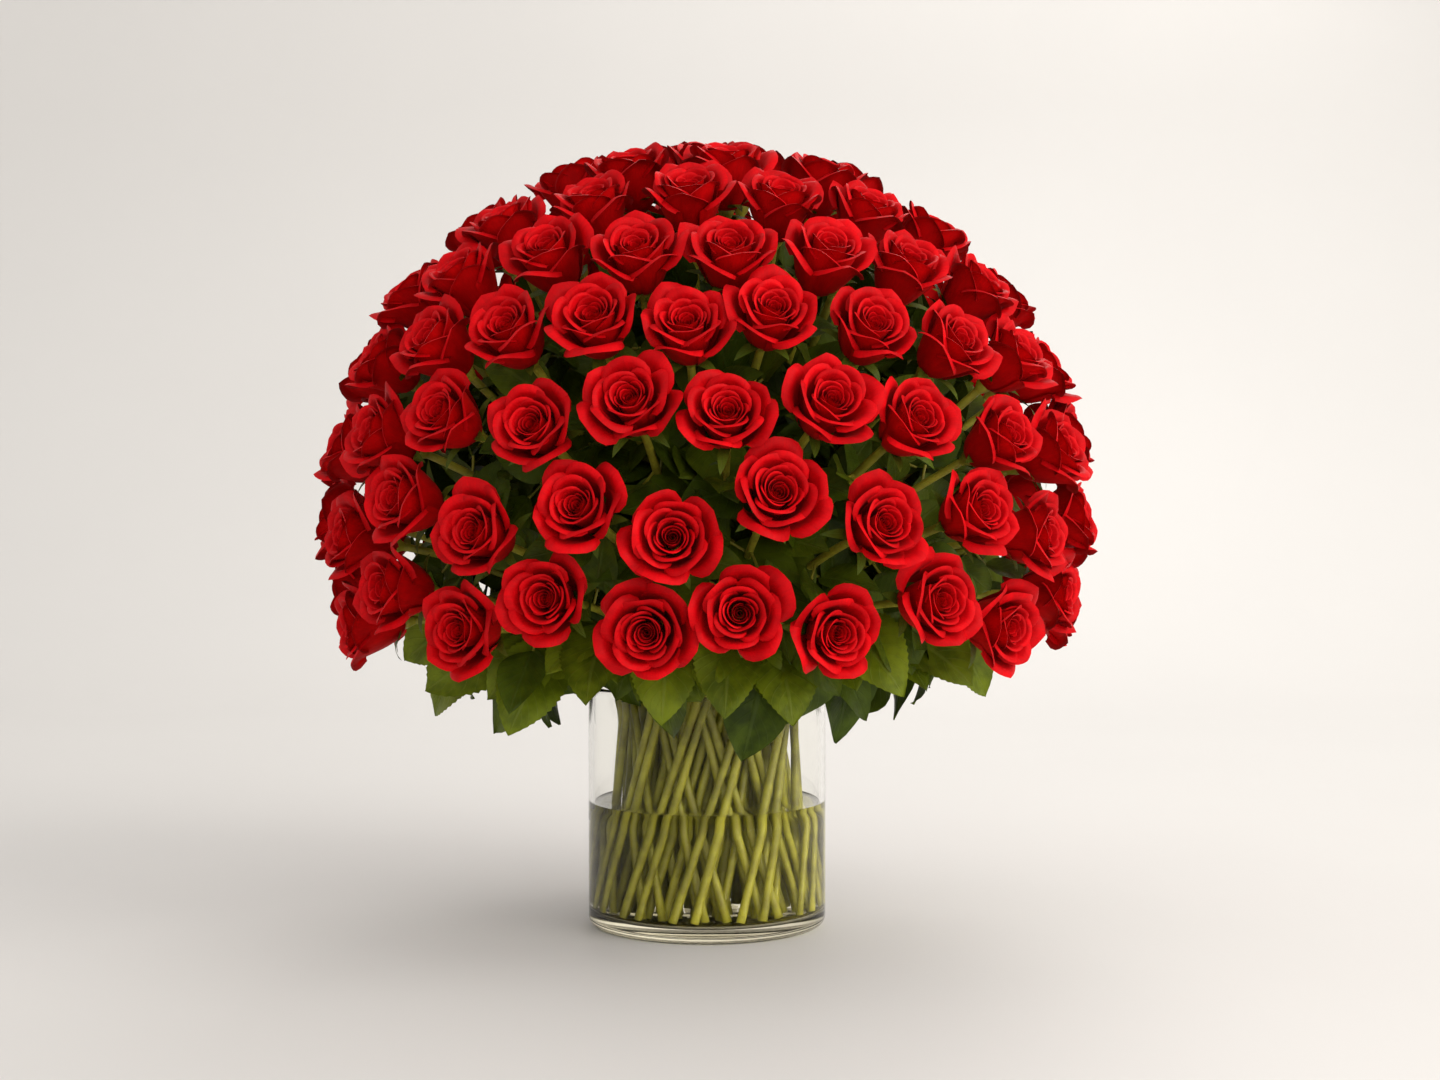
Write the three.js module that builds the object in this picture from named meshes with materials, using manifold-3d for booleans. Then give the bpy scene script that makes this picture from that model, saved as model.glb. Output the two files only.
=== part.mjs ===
// Cut red roses standing in a straight glass cylinder vase with water.
//
// The flower heads form a dome. They sit in rings of latitude on a flattened ball, and every head faces
// away from one focus just above the vase. Each stem runs straight from the vase floor to the waist of
// the bundle, just below the rim, and bends from there to its head. The stems of one ring lie on one
// hyperbolic shell, so they never cross each other, and the shells nest inside one another.
// Neighbouring rings spiral in opposite directions.
//
// Two or three neighbouring roses of a ring press together at the waist and are one solid, because there
// are more roses than nodes. Azimuth is measured from the front (-Y), positive towards +X.
// Units are millimetres, +Z is up, and the origin is the centre of the vase's underside.
import * as THREE from "three";
import Module from "manifold-3d";

const wasm = await Module();
wasm.setup();

// ---- Driving dimensions ----
const VASE = { radius: 75, height: 152, wall: 3.5, base: 10, foot: 7, fillet: 4, sides: 40 };
const WATER = { level: 78, gap: 0.3 };
const STEM = { radius: 2.8, footHeight: 12.2, waistHeight: 127, touching: 4.2, sides: 5 };
const DOME = { centreHeight: 262, radius: 240, rise: 230, focusHeight: 205 };

// Length of a flower head to the middle of its crown, and its outline along its own axis:
// distance from its base, and radius.
const HEAD = { length: 43, outline: [[9, 13], [31, 26.5], [48, 17]] };

// Leaves of the collar: blade size, and where along the upper stem it joins.
const LEAF = { length: 56, width: 34, thickness: 1, along: 0.72, droop: 38 };

// One row for each ring of heads, from the lowest up. Angles are in degrees. arch lifts the ring's front
// and back, and lowers its sides. zigzag lifts every other head, and lowers the ones between them.
// waist and foot are the shell's radii at the waist and at the vase floor.
const RINGS = [
  {
    latitude: -14, arch: 0, zigzag: 2.4, count: 22, joined: 2, front: 5.8, crowd: 0.15,
    waist: 55.5, foot: 66.5, sweep: 22, steps: 5,
  },
  {
    latitude: 0, arch: 1.8, zigzag: -2.4, count: 22, joined: 2, front: -3.2, crowd: 0.15,
    waist: 48, foot: 59.3, sweep: 27, steps: 3,
  },
  {
    latitude: 13.5, arch: 3, zigzag: -0.6, count: 22, joined: 2, front: 3, crowd: 0.15,
    waist: 40.6, foot: 52, sweep: 35, steps: 3,
  },
  {
    latitude: 27.4, arch: 3.2, zigzag: 0, count: 21, joined: 3, front: -3, crowd: 0.15,
    waist: 33.2, foot: 44.6, sweep: 42, steps: 3,
  },
  {
    latitude: 41.1, arch: 3.2, zigzag: 0, count: 18, joined: 3, front: 4.4, crowd: 0.07,
    waist: 25.8, foot: 37.2, sweep: 48, steps: 3,
  },
  {
    latitude: 54.7, arch: 2.9, zigzag: 0, count: 14, joined: 2, front: -5.5, crowd: 0,
    waist: 18.4, foot: 29.6, sweep: 55, steps: 3,
  },
  {
    latitude: 69, arch: 1, zigzag: 0, count: 8, joined: 2, front: 9, crowd: 0,
    waist: 11.2, foot: 21.6, sweep: 60, steps: 3,
  },
  {
    latitude: 83.3, arch: 0, zigzag: 0, count: 3, joined: 3, front: 0, crowd: 0,
    waist: 2.4, foot: 9, sweep: 60, steps: 2,
  },
];

// How far a head strays from its regular place, each way, in degrees.
const STRAY = { latitude: 1.4, azimuth: 1.2, tilt: 4 };

// ---- Colours ----
const MATERIALS = {
  rose: new THREE.MeshStandardMaterial({ color: 0xb0060c, roughness: 0.65, metalness: 0 }),
  glass: new THREE.MeshStandardMaterial({
    color: 0xe6efe8, roughness: 0.05, metalness: 0, transparent: true, opacity: 0.3,
  }),
  water: new THREE.MeshStandardMaterial({
    color: 0xe8ecd2, roughness: 0.05, metalness: 0, transparent: true, opacity: 0.4,
  }),
};

// ---- Helpers ----
const radians = THREE.MathUtils.degToRad;

// A repeatable number from -1 to 1 for one rose and one purpose.
function stray(rose, purpose) {
  const s = Math.sin(rose * 12.9898 + purpose * 78.233) * 43758.5453;
  return 2 * (s - Math.floor(s)) - 1;
}

function cylindrical(radius, azimuth, z) {
  return new THREE.Vector3(radius * Math.sin(azimuth), -radius * Math.cos(azimuth), z);
}

function solidOf(vertices, triangles) {
  const vertProperties = new Float32Array(vertices.flatMap((v) => [v.x, v.y, v.z]));
  return new wasm.Manifold(
    new wasm.Mesh({ numProp: 3, vertProperties, triVerts: new Uint32Array(triangles) }),
  );
}

function geometryOf(solid) {
  const mesh = solid.getMesh();
  const geometry = new THREE.BufferGeometry();
  geometry.setAttribute("position", new THREE.BufferAttribute(new Float32Array(mesh.vertProperties), 3));
  geometry.setIndex(new THREE.BufferAttribute(new Uint32Array(mesh.triVerts), 1));
  geometry.computeVertexNormals();
  return geometry;
}

// A closed skin over polygons of one size, stacked along a path of points with a radius at each.
function loft(points, radii, sides) {
  const vertices = [];
  const triangles = [];
  let across = new THREE.Vector3(1, 0, 0);
  points.forEach((point, i) => {
    const before = points[Math.max(i - 1, 0)];
    const after = points[Math.min(i + 1, points.length - 1)];
    const along = after.clone().sub(before).normalize();
    across = across.sub(along.clone().multiplyScalar(across.dot(along))).normalize();
    const third = along.clone().cross(across);
    for (let k = 0; k < sides; k++) {
      const turn = (2 * Math.PI * k) / sides;
      vertices.push(
        point.clone()
          .addScaledVector(across, radii[i] * Math.cos(turn))
          .addScaledVector(third, radii[i] * Math.sin(turn)),
      );
    }
  });
  for (let i = 0; i + 1 < points.length; i++) {
    for (let k = 0; k < sides; k++) {
      const a = i * sides + k;
      const b = i * sides + ((k + 1) % sides);
      triangles.push(a, b, b + sides, a, b + sides, a + sides);
    }
  }
  const last = (points.length - 1) * sides;
  for (let k = 1; k + 1 < sides; k++) {
    triangles.push(0, k + 1, k, last, last + k, last + k + 1);
  }
  return solidOf(vertices, triangles);
}

// ---- Where the roses stand ----

// Azimuth of head j of a ring. crowd draws the heads together at the front and the back.
function headAzimuth(ring, j) {
  const even = radians(ring.front / (1 - ring.crowd)) + (2 * Math.PI * j) / ring.count;
  return even - (ring.crowd / 2) * Math.sin(2 * even);
}

// The head's base and axis for rose number `index`, head j of its ring.
function headPlace(ring, j, index) {
  const azimuth = headAzimuth(ring, j) + radians(STRAY.azimuth * stray(index, 2));
  const arched = ring.latitude + ring.arch * Math.cos(2 * azimuth);
  const staggered = arched + (j % 2 === 0 ? ring.zigzag : -ring.zigzag);
  const latitude = radians(staggered + STRAY.latitude * stray(index, 1));
  const face = cylindrical(
    DOME.radius * Math.cos(latitude), azimuth, DOME.centreHeight + DOME.rise * Math.sin(latitude),
  );
  const axis = face.clone().sub(new THREE.Vector3(0, 0, DOME.focusHeight)).normalize();
  const sideways = cylindrical(1, azimuth + Math.PI / 2, 0);
  axis.applyAxisAngle(sideways, radians(STRAY.tilt * stray(index, 3)));
  axis.applyAxisAngle(new THREE.Vector3(0, 0, 1), radians(STRAY.tilt * stray(index, 4)));
  return { azimuth, axis, base: face.clone().addScaledVector(axis, -HEAD.length) };
}

// Foot, waist and upper curve of the stem of head j. turn is +1 or -1, the way that the ring spirals.
function stemOf(ring, j, index, turn) {
  const head = headPlace(ring, j, index);
  const alone = headAzimuth(ring, j) - turn * radians(ring.sweep);

  // The stems that are joined lie side by side at the waist, round the middle of their group.
  const first = j - (j % ring.joined);
  const middle = headAzimuth(ring, first + (ring.joined - 1) / 2) - turn * radians(ring.sweep);
  const pressed = middle + ((j - first - (ring.joined - 1) / 2) * STEM.touching) / ring.waist;
  const waistAzimuth = ring.joined === ring.count ? alone : pressed;
  const waist = cylindrical(ring.waist, waistAzimuth, STEM.waistHeight);
  const run = Math.sqrt(ring.foot ** 2 - ring.waist ** 2);
  const footAzimuth = (alone + waistAzimuth) / 2;
  const foot = cylindrical(ring.waist, footAzimuth, STEM.footHeight)
    .addScaledVector(cylindrical(1, footAzimuth + Math.PI / 2, 0), -turn * run);

  const rise = waist.clone().sub(foot).normalize();
  const reach = head.base.distanceTo(waist);
  const curve = new THREE.CubicBezierCurve3(
    waist,
    waist.clone().addScaledVector(rise, 0.36 * reach),
    head.base.clone().addScaledVector(head.axis, -0.4 * reach),
    head.base,
  );
  return { foot, curve, head };
}

// ---- Sub-parts ----

// One rose: stem and flower head in one skin, from the cut foot to the face of the head.
// extra widens it all over, for the hole that the rose leaves in the water.
function roseSolid(ring, stem, extra = 0) {
  const points = [stem.foot.clone()];
  const radii = [STEM.radius + extra];
  for (const point of stem.curve.getPoints(ring.steps)) {
    points.push(point);
    radii.push(STEM.radius + extra);
  }
  for (const [distance, radius] of HEAD.outline) {
    points.push(stem.head.base.clone().addScaledVector(stem.head.axis, distance));
    radii.push(radius + extra);
  }
  if (extra > 0) {
    const down = points[0].clone().sub(points[1]).normalize();
    points[0].addScaledVector(down, extra);
  }
  return loft(points, radii, STEM.sides);
}

// A pointed leaf blade that hangs outwards and down from a ring stem.
function leafSolid(stem, index) {
  const root = stem.curve.getPoint(LEAF.along);
  const outward = cylindrical(1, stem.head.azimuth + radians(9 * stray(index, 5)), 0);
  const droop = radians(LEAF.droop + 8 * stray(index, 6));
  const along = outward.clone().multiplyScalar(Math.cos(droop));
  along.z -= Math.sin(droop);
  const across = new THREE.Vector3(0, 0, 1).cross(outward).normalize();
  const up = along.clone().cross(across).negate();
  const outline = [[0, -0.05], [0.25, -0.4], [0.55, -0.5], [1, 0], [0.55, 0.5], [0.25, 0.4], [0, 0.05]];
  const vertices = [];
  for (const side of [-0.5, 0.5]) {
    for (const [u, v] of outline) {
      vertices.push(
        root.clone()
          .addScaledVector(along, u * LEAF.length)
          .addScaledVector(across, v * LEAF.width)
          .addScaledVector(up, side * LEAF.thickness - 2),
      );
    }
  }
  const n = outline.length;
  const triangles = [];
  for (let k = 1; k + 1 < n; k++) {
    triangles.push(0, k, k + 1, n, n + k + 1, n + k);
  }
  for (let k = 0; k < n; k++) {
    const next = (k + 1) % n;
    triangles.push(k, k + n, next + n, k, next + n, next);
  }
  const made = solidOf(vertices, triangles);
  return made.volume() < 0 ? solidOf(vertices, triangles.reverse()) : made;
}

function vaseGeometry() {
  const { radius, height, wall, base, foot, fillet, sides } = VASE;
  const inner = radius - wall;
  const diagonal = Math.SQRT1_2;
  const outline = [
    [0, 0],
    [radius - foot, 0],
    [radius - foot + foot * diagonal, foot - foot * diagonal],
    [radius, foot],
    [radius, height - wall / 2],
    [radius - wall / 2, height],
    [inner, height - wall / 2],
    [inner, base + fillet],
    [inner - fillet, base],
    [0, base],
  ];
  const lathe = new THREE.LatheGeometry(outline.map(([x, y]) => new THREE.Vector2(x, y)), sides);
  return lathe.rotateX(Math.PI / 2);
}

// The water fills the vase up to its level, round the stems that stand in it.
function waterSolid(stemsInWater) {
  const inner = VASE.radius - VASE.wall - WATER.gap;
  const floor = VASE.base + WATER.gap;
  const outline = [[inner - VASE.fillet, floor], [inner, floor + VASE.fillet], [inner, WATER.level]];
  const vertices = [];
  const triangles = [];
  const { sides } = VASE;
  outline.forEach(([r, z], i) => {
    for (let k = 0; k < sides; k++) {
      const turn = (2 * Math.PI * k) / sides;
      vertices.push(new THREE.Vector3(r * Math.cos(turn), r * Math.sin(turn), z));
      if (i > 0) {
        const a = (i - 1) * sides + k;
        const b = (i - 1) * sides + ((k + 1) % sides);
        triangles.push(a, b, b + sides, a, b + sides, a + sides);
      }
    }
  });
  const last = (outline.length - 1) * sides;
  for (let k = 1; k + 1 < sides; k++) {
    triangles.push(0, k + 1, k, last, last + k, last + k + 1);
  }
  return stemsInWater.reduce((water, stem) => water.subtract(stem), solidOf(vertices, triangles));
}

// ---- Assembly ----
const group = new THREE.Group();

function place(name, geometry, material) {
  const mesh = new THREE.Mesh(geometry, material);
  mesh.name = name;
  group.add(mesh);
}

const holes = [];
let index = 0;
let bunch = 0;
RINGS.forEach((ring, level) => {
  const turn = level % 2 === 0 ? 1 : -1;
  let joined = null;
  for (let j = 0; j < ring.count; j++) {
    const stem = stemOf(ring, j, index, turn);
    let rose = roseSolid(ring, stem);
    if (level === 0) {
      rose = rose.add(leafSolid(stem, index));
    }
    joined = joined ? joined.add(rose) : rose;
    holes.push(roseSolid(ring, stem, WATER.gap));
    if (j % ring.joined === ring.joined - 1) {
      bunch += 1;
      place(`roses_${String(bunch).padStart(2, "0")}`, geometryOf(joined), MATERIALS.rose);
      joined = null;
    }
    index += 1;
  }
});
place("glass_vase", vaseGeometry(), MATERIALS.glass);
place("water", geometryOf(waterSolid(holes)), MATERIALS.water);

export default group;
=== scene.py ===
"""Cut red roses standing in a straight glass cylinder vase with water, dressed for rendering.

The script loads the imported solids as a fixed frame. Along each stem of that frame it grows one detailed
rose, with its petals, sepals and leaves, and it gives the vase and the water their own meshes. Lengths
are in metres and +Z is up. Azimuth is measured from the front (-Y), positive towards +X.
"""

import logging
import math
from dataclasses import dataclass, field
from enum import Enum, IntEnum

import bpy
import numpy as np
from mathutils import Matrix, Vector


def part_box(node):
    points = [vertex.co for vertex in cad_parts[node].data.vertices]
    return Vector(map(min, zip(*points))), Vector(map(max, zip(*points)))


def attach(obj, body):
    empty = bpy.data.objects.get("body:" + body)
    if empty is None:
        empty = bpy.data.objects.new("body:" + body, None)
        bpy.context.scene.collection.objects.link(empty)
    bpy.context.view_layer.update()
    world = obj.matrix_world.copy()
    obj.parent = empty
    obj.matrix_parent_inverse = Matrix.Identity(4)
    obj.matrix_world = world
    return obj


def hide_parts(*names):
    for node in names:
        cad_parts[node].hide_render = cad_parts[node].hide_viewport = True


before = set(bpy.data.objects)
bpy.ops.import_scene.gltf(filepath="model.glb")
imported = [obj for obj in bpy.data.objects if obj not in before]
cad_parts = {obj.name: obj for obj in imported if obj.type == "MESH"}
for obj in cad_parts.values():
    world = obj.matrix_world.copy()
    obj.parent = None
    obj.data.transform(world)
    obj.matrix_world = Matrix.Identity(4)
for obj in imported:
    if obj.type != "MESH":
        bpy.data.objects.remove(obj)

LOG = logging.getLogger("bouquet")
ROOT = "root"
MM = 0.001
RGBA = tuple[float, float, float, float]
STRAY_STEPS = (12.9898, 78.233)
STRAY_REACH = 43758.5453
UPRIGHT = 0.9
FIRST_SEED = 1000
PURPOSES_PER_LEAF = 7


# ---------------------------------------------------------------------------------------------
# Where the roses stand
# ---------------------------------------------------------------------------------------------


def radians(degrees: float) -> float:
    """An angle in radians."""
    return math.radians(degrees)


class Purpose(IntEnum):
    """What a rose's stray number is for. The frame draws the first four in the same way."""

    LATITUDE = 1
    AZIMUTH = 2
    NOD = 3
    TURN = 4
    LEAF_ASIDE = 5
    LEAF_DROOP = 6
    GIRTH = 11
    KNOTS = 12


def stray(rose: int, purpose: int) -> float:
    """A repeatable number from -1 to 1 for one rose and one purpose.

    Args:
        rose: The rose's number.
        purpose: What the number is for.

    Returns:
        The number.
    """
    s = math.sin(rose * STRAY_STEPS[0] + purpose * STRAY_STEPS[1]) * STRAY_REACH
    return 2 * (s - math.floor(s)) - 1


def cylindrical(radius: float, azimuth: float, height: float) -> Vector:
    """The point at a radius, an azimuth and a height."""
    return Vector((radius * math.sin(azimuth), -radius * math.cos(azimuth), height))


def turned(vector: Vector, axis: Vector, angle: float) -> Vector:
    """A vector turned about an axis through the origin.

    Args:
        vector: What is turned.
        axis: The unit axis.
        angle: The angle in radians.

    Returns:
        The turned vector.
    """
    c, s = math.cos(angle), math.sin(angle)
    return vector * c + axis.cross(vector) * s + axis * (axis.dot(vector) * (1 - c))


@dataclass(frozen=True)
class Ring:
    """One ring of heads. Angles are in degrees, radii in metres.

    Attributes:
        latitude: Height of the ring on the dome, as an angle.
        arch: How far the ring's front and back rise and its sides fall.
        zigzag: How far every other head rises and the ones between fall.
        front: Azimuth of the ring's first head.
        crowd: How strongly the heads draw together at the front and the back.
        count: How many roses the ring has.
        joined: How many neighbours press together at the waist, as one solid of the frame.
        waist: Radius of the ring's stems at the waist.
        foot: Radius of their feet.
        sweep: How far a stem turns about the vase between its waist and its head.
    """

    latitude: float
    arch: float
    zigzag: float
    front: float
    crowd: float
    count: int
    joined: int
    waist: float
    foot: float
    sweep: float

    def azimuth(self, j: int) -> float:
        """Azimuth of head number j, before it strays; j may be a fraction."""
        even = radians(self.front / (1 - self.crowd)) + 2 * math.pi * j / self.count
        return even - self.crowd / 2 * math.sin(2 * even)


@dataclass
class Stand:
    """Where one rose stands.

    Attributes:
        index: The rose's number.
        level: The number of its ring, from 0 for the lowest.
        node: The solid of the frame that the rose stands for.
        azimuth: Azimuth of its head.
        foot: The cut end of its stem.
        curve: The four control points of the upper stem, from the waist to the head's base.
        axis: The way that the head faces.
    """

    index: int
    level: int
    node: str
    azimuth: float
    foot: Vector
    curve: tuple[Vector, Vector, Vector, Vector]
    axis: Vector

    @property
    def base(self) -> Vector:
        """The head's base."""
        return self.curve[3]

    def point(self, t: float) -> Vector:
        """A point of the upper stem.

        Args:
            t: How far up it is, from 0 at the waist to 1 at the head's base.

        Returns:
            The point.
        """
        a, b, c, d = self.curve
        u = 1 - t
        return a * u**3 + b * (3 * u * u * t) + c * (3 * u * t * t) + d * t**3


@dataclass(frozen=True)
class Bouquet:
    """The dome of heads and the spiral bundle of stems.

    Both are as the frame has them, but the stems of one solid stand a little further apart than there,
    so that each of them stays separate.

    Attributes:
        rings: The rings of heads, from the lowest up.
        centre_height: Height of the dome's centre.
        radius: The dome's radius, out to the heads' faces.
        rise: Height of its top over its centre.
        focus_height: Height of the point on the Z axis that every head faces away from.
        head_length: From a head's base to its face.
        foot_height: Height of the stems' cut ends.
        waist_height: Height of the bundle's waist.
        touching: How far apart the stems of one solid stand at the waist.
        straight: How far a stem runs on straight above the waist, as a share of the way to its head.
        hang: How far it follows its head's axis under the head, as such a share.
        stray_latitude: How far a head strays up or down the dome, in degrees.
        stray_azimuth: How far it strays round the dome.
        stray_tilt: How far it nods and turns.
    """

    rings: tuple[Ring, ...] = (
        Ring(-14, 0, 2.4, 5.8, 0.15, 22, 2, 0.0555, 0.0665, 22),
        Ring(0, 1.8, -2.4, -3.2, 0.15, 22, 2, 0.048, 0.0593, 27),
        Ring(13.5, 3, -0.6, 3, 0.15, 22, 2, 0.0406, 0.052, 35),
        Ring(27.4, 3.2, 0, -3, 0.15, 21, 3, 0.0332, 0.0446, 42),
        Ring(41.1, 3.2, 0, 4.4, 0.07, 18, 3, 0.0258, 0.0372, 48),
        Ring(54.7, 2.9, 0, -5.5, 0, 14, 2, 0.0184, 0.0296, 55),
        Ring(69, 1, 0, 9, 0, 8, 2, 0.0112, 0.0216, 60),
        Ring(83.3, 0, 0, 0, 0, 3, 3, 0.0033, 0.009, 60),
    )
    centre_height: float = 0.262
    radius: float = 0.240
    rise: float = 0.230
    focus_height: float = 0.205
    head_length: float = 0.043
    foot_height: float = 0.0122
    waist_height: float = 0.127
    touching: float = 0.006
    straight: float = 0.36
    hang: float = 0.4
    stray_latitude: float = 1.4
    stray_azimuth: float = 1.2
    stray_tilt: float = 4

    def head(self, ring: Ring, j: int, index: int) -> tuple[float, Vector, Vector]:
        """Where a head is and the way it faces.

        Args:
            ring: The head's ring.
            j: Its number in the ring.
            index: The rose's number.

        Returns:
            The head's azimuth, its base and its axis.
        """
        azimuth = ring.azimuth(j) + radians(self.stray_azimuth * stray(index, Purpose.AZIMUTH))
        arched = ring.latitude + ring.arch * math.cos(2 * azimuth)
        staggered = arched + (ring.zigzag if j % 2 == 0 else -ring.zigzag)
        latitude = radians(staggered + self.stray_latitude * stray(index, Purpose.LATITUDE))
        face = cylindrical(
            self.radius * math.cos(latitude),
            azimuth,
            self.centre_height + self.rise * math.sin(latitude),
        )
        axis = (face - Vector((0, 0, self.focus_height))).normalized()
        sideways = cylindrical(1, azimuth + math.pi / 2, 0)
        nod = radians(self.stray_tilt * stray(index, Purpose.NOD))
        turn = radians(self.stray_tilt * stray(index, Purpose.TURN))
        axis = turned(turned(axis, sideways, nod), Vector((0, 0, 1)), turn)
        return azimuth, face - axis * self.head_length, axis

    def stand(self, level: int, j: int, index: int, node: str) -> Stand:
        """Where the rose with head j of a ring stands.

        Args:
            level: The ring's number.
            j: The head's number in the ring.
            index: The rose's number.
            node: The solid of the frame that holds the rose.

        Returns:
            The rose's stand.
        """
        ring = self.rings[level]
        turn = 1 if level % 2 == 0 else -1
        azimuth, base, axis = self.head(ring, j, index)
        alone = ring.azimuth(j) - turn * radians(ring.sweep)
        first = j - j % ring.joined
        middle = ring.azimuth(first + (ring.joined - 1) / 2) - turn * radians(ring.sweep)
        aside = (j - first - (ring.joined - 1) / 2) * self.touching / ring.waist
        waist_azimuth = alone if ring.joined == ring.count else middle + aside
        waist = cylindrical(ring.waist, waist_azimuth, self.waist_height)
        run = math.sqrt(ring.foot**2 - ring.waist**2)
        foot_azimuth = (alone + waist_azimuth) / 2
        foot = cylindrical(ring.waist, foot_azimuth, self.foot_height)
        foot -= cylindrical(1, foot_azimuth + math.pi / 2, 0) * (turn * run)
        rise = (waist - foot).normalized()
        reach = (base - waist).length
        curve = (
            waist,
            waist + rise * (self.straight * reach),
            base - axis * (self.hang * reach),
            base,
        )
        return Stand(index, level, node, azimuth, foot, curve, axis)

    def stands(self) -> list[Stand]:
        """Every rose's stand, from the lowest ring up."""
        found: list[Stand] = []
        bunch = 0
        for level, ring in enumerate(self.rings):
            for j in range(ring.count):
                if j % ring.joined == 0:
                    bunch += 1
                found.append(self.stand(level, j, len(found), f"roses_{bunch:02d}"))
        return found


# ---------------------------------------------------------------------------------------------
# Mesh building
# ---------------------------------------------------------------------------------------------


class Part(Enum):
    """The materials of a rose, in the order of its material slots."""

    PETAL = 0
    STEM = 1
    LEAF = 2


@dataclass
class Skin:
    """Vertices and faces of one piece, gathered patch by patch.

    Each vertex carries four numbers for the materials: `along` and `across` place it on its own petal,
    leaf or stem, `age` tells inner from outer and, on leaves and sepals, how much of the painted shade they
    are spared, and `chance` differs from patch to patch. `cloth` is its place on the flattened patch in
    metres.
    """

    points: list[np.ndarray] = field(default_factory=list)
    faces: list[np.ndarray] = field(default_factory=list)
    slots: list[np.ndarray] = field(default_factory=list)
    marks: list[np.ndarray] = field(default_factory=list)
    cloth: list[np.ndarray] = field(default_factory=list)
    count: int = 0

    def grid(
        self,
        points: np.ndarray,
        part: Part,
        marks: np.ndarray,
        cloth: np.ndarray,
        closed: bool = False,
    ) -> None:
        """Adds a patch of rows and columns.

        Args:
            points: Positions, rows x columns x 3.
            part: The patch's material.
            marks: along, across, age and chance of each point, rows x columns x 4.
            cloth: The flattened position of each point, rows x columns x 3.
            closed: True joins the last column to the first.
        """
        rows, columns = points.shape[:2]
        numbers = np.arange(rows * columns).reshape(rows, columns) + self.count
        if closed:
            numbers = np.concatenate([numbers, numbers[:, :1]], axis=1)
        quads = np.stack(
            [numbers[:-1, :-1], numbers[:-1, 1:], numbers[1:, 1:], numbers[1:, :-1]], axis=-1
        ).reshape(-1, 4)
        self.points.append(points.reshape(-1, 3))
        self.faces.append(quads)
        self.slots.append(np.full(len(quads), part.value))
        self.marks.append(marks.reshape(-1, 4))
        self.cloth.append(cloth.reshape(-1, 3))
        self.count += rows * columns

    def piece(self, name: str, materials: list[bpy.types.Material]) -> bpy.types.Object:
        """Makes the object.

        Args:
            name: The piece's name.
            materials: Its materials, one for each slot.

        Returns:
            The new object.
        """
        points = np.concatenate(self.points)
        faces = np.concatenate(self.faces)
        mesh = bpy.data.meshes.new(name)
        mesh.vertices.add(len(points))
        mesh.vertices.foreach_set("co", points.astype(np.float32).ravel())
        mesh.loops.add(faces.size)
        mesh.loops.foreach_set("vertex_index", faces.astype(np.int32).ravel())
        mesh.polygons.add(len(faces))
        mesh.polygons.foreach_set("loop_start", np.arange(0, faces.size, 4, dtype=np.int32))
        mesh.polygons.foreach_set("material_index", np.concatenate(self.slots).astype(np.int32))
        mesh.polygons.foreach_set("use_smooth", np.ones(len(faces), dtype=bool))
        marks = np.concatenate(self.marks).astype(np.float32)
        for k, word in enumerate(("along", "across", "age", "chance")):
            mesh.attributes.new(word, "FLOAT", "POINT").data.foreach_set("value", marks[:, k].copy())
        cloth = mesh.attributes.new("cloth", "FLOAT_VECTOR", "POINT")
        cloth.data.foreach_set("vector", np.concatenate(self.cloth).astype(np.float32).ravel())
        mesh.update(calc_edges=True)
        mesh.validate()
        for material in materials:
            mesh.materials.append(material)
        made = bpy.data.objects.new(name, mesh)
        bpy.context.scene.collection.objects.link(made)
        return made


def basis(axis: Vector, hint: Vector) -> np.ndarray:
    """A right-handed frame with its third row along an axis.

    Args:
        axis: The third direction.
        hint: Roughly the first direction.

    Returns:
        The three unit directions as the rows of an array.
    """
    third = axis.normalized()
    first = (hint - third * hint.dot(third)).normalized()
    return np.array([first, third.cross(first), third])


# ---------------------------------------------------------------------------------------------
# The rose
# ---------------------------------------------------------------------------------------------


@dataclass(frozen=True)
class Whorl:
    """One whorl of petals. Every pair runs from the whorl's first petal to its last.

    Attributes:
        count: How many petals it has.
        rim: Radius where the lip begins, in millimetres.
        height: Height of that rim above the head's base, in millimetres.
        flank: Radius of the petals' flank, in millimetres.
        half: Half of the angle that a petal spans, in degrees.
        lip: Radius of the rolled lip, in millimetres.
        curl: How far the lip rolls in its middle, in degrees.
        side: How far the lip rolls at its sides, in degrees.
        flat: How flat a petal is across, from 0 for a full curve to 1.
        fall: How far a petal's outline falls at its sides, as a share of its length.
        point: How pointed its outline is. 1 is a point, 3 is round.
        start: Where a petal begins, as a share of its length.
        rows: Points up a petal to its lip.
    """

    count: int
    rim: tuple[float, float]
    height: tuple[float, float]
    flank: tuple[float, float]
    half: tuple[float, float]
    lip: tuple[float, float]
    curl: tuple[float, float]
    side: tuple[float, float]
    flat: float
    fall: float
    point: float
    start: float
    rows: int


@dataclass(frozen=True)
class Spread:
    """How far a petal's measures stray from its whorl's, as shares of them."""

    rim: float = 0.025
    height: float = 0.012
    flank: float = 0.01
    half: float = 0.04
    lip: float = 0.08
    curl: float = 0.1
    side: float = 0.06
    most: float = 2


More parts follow.
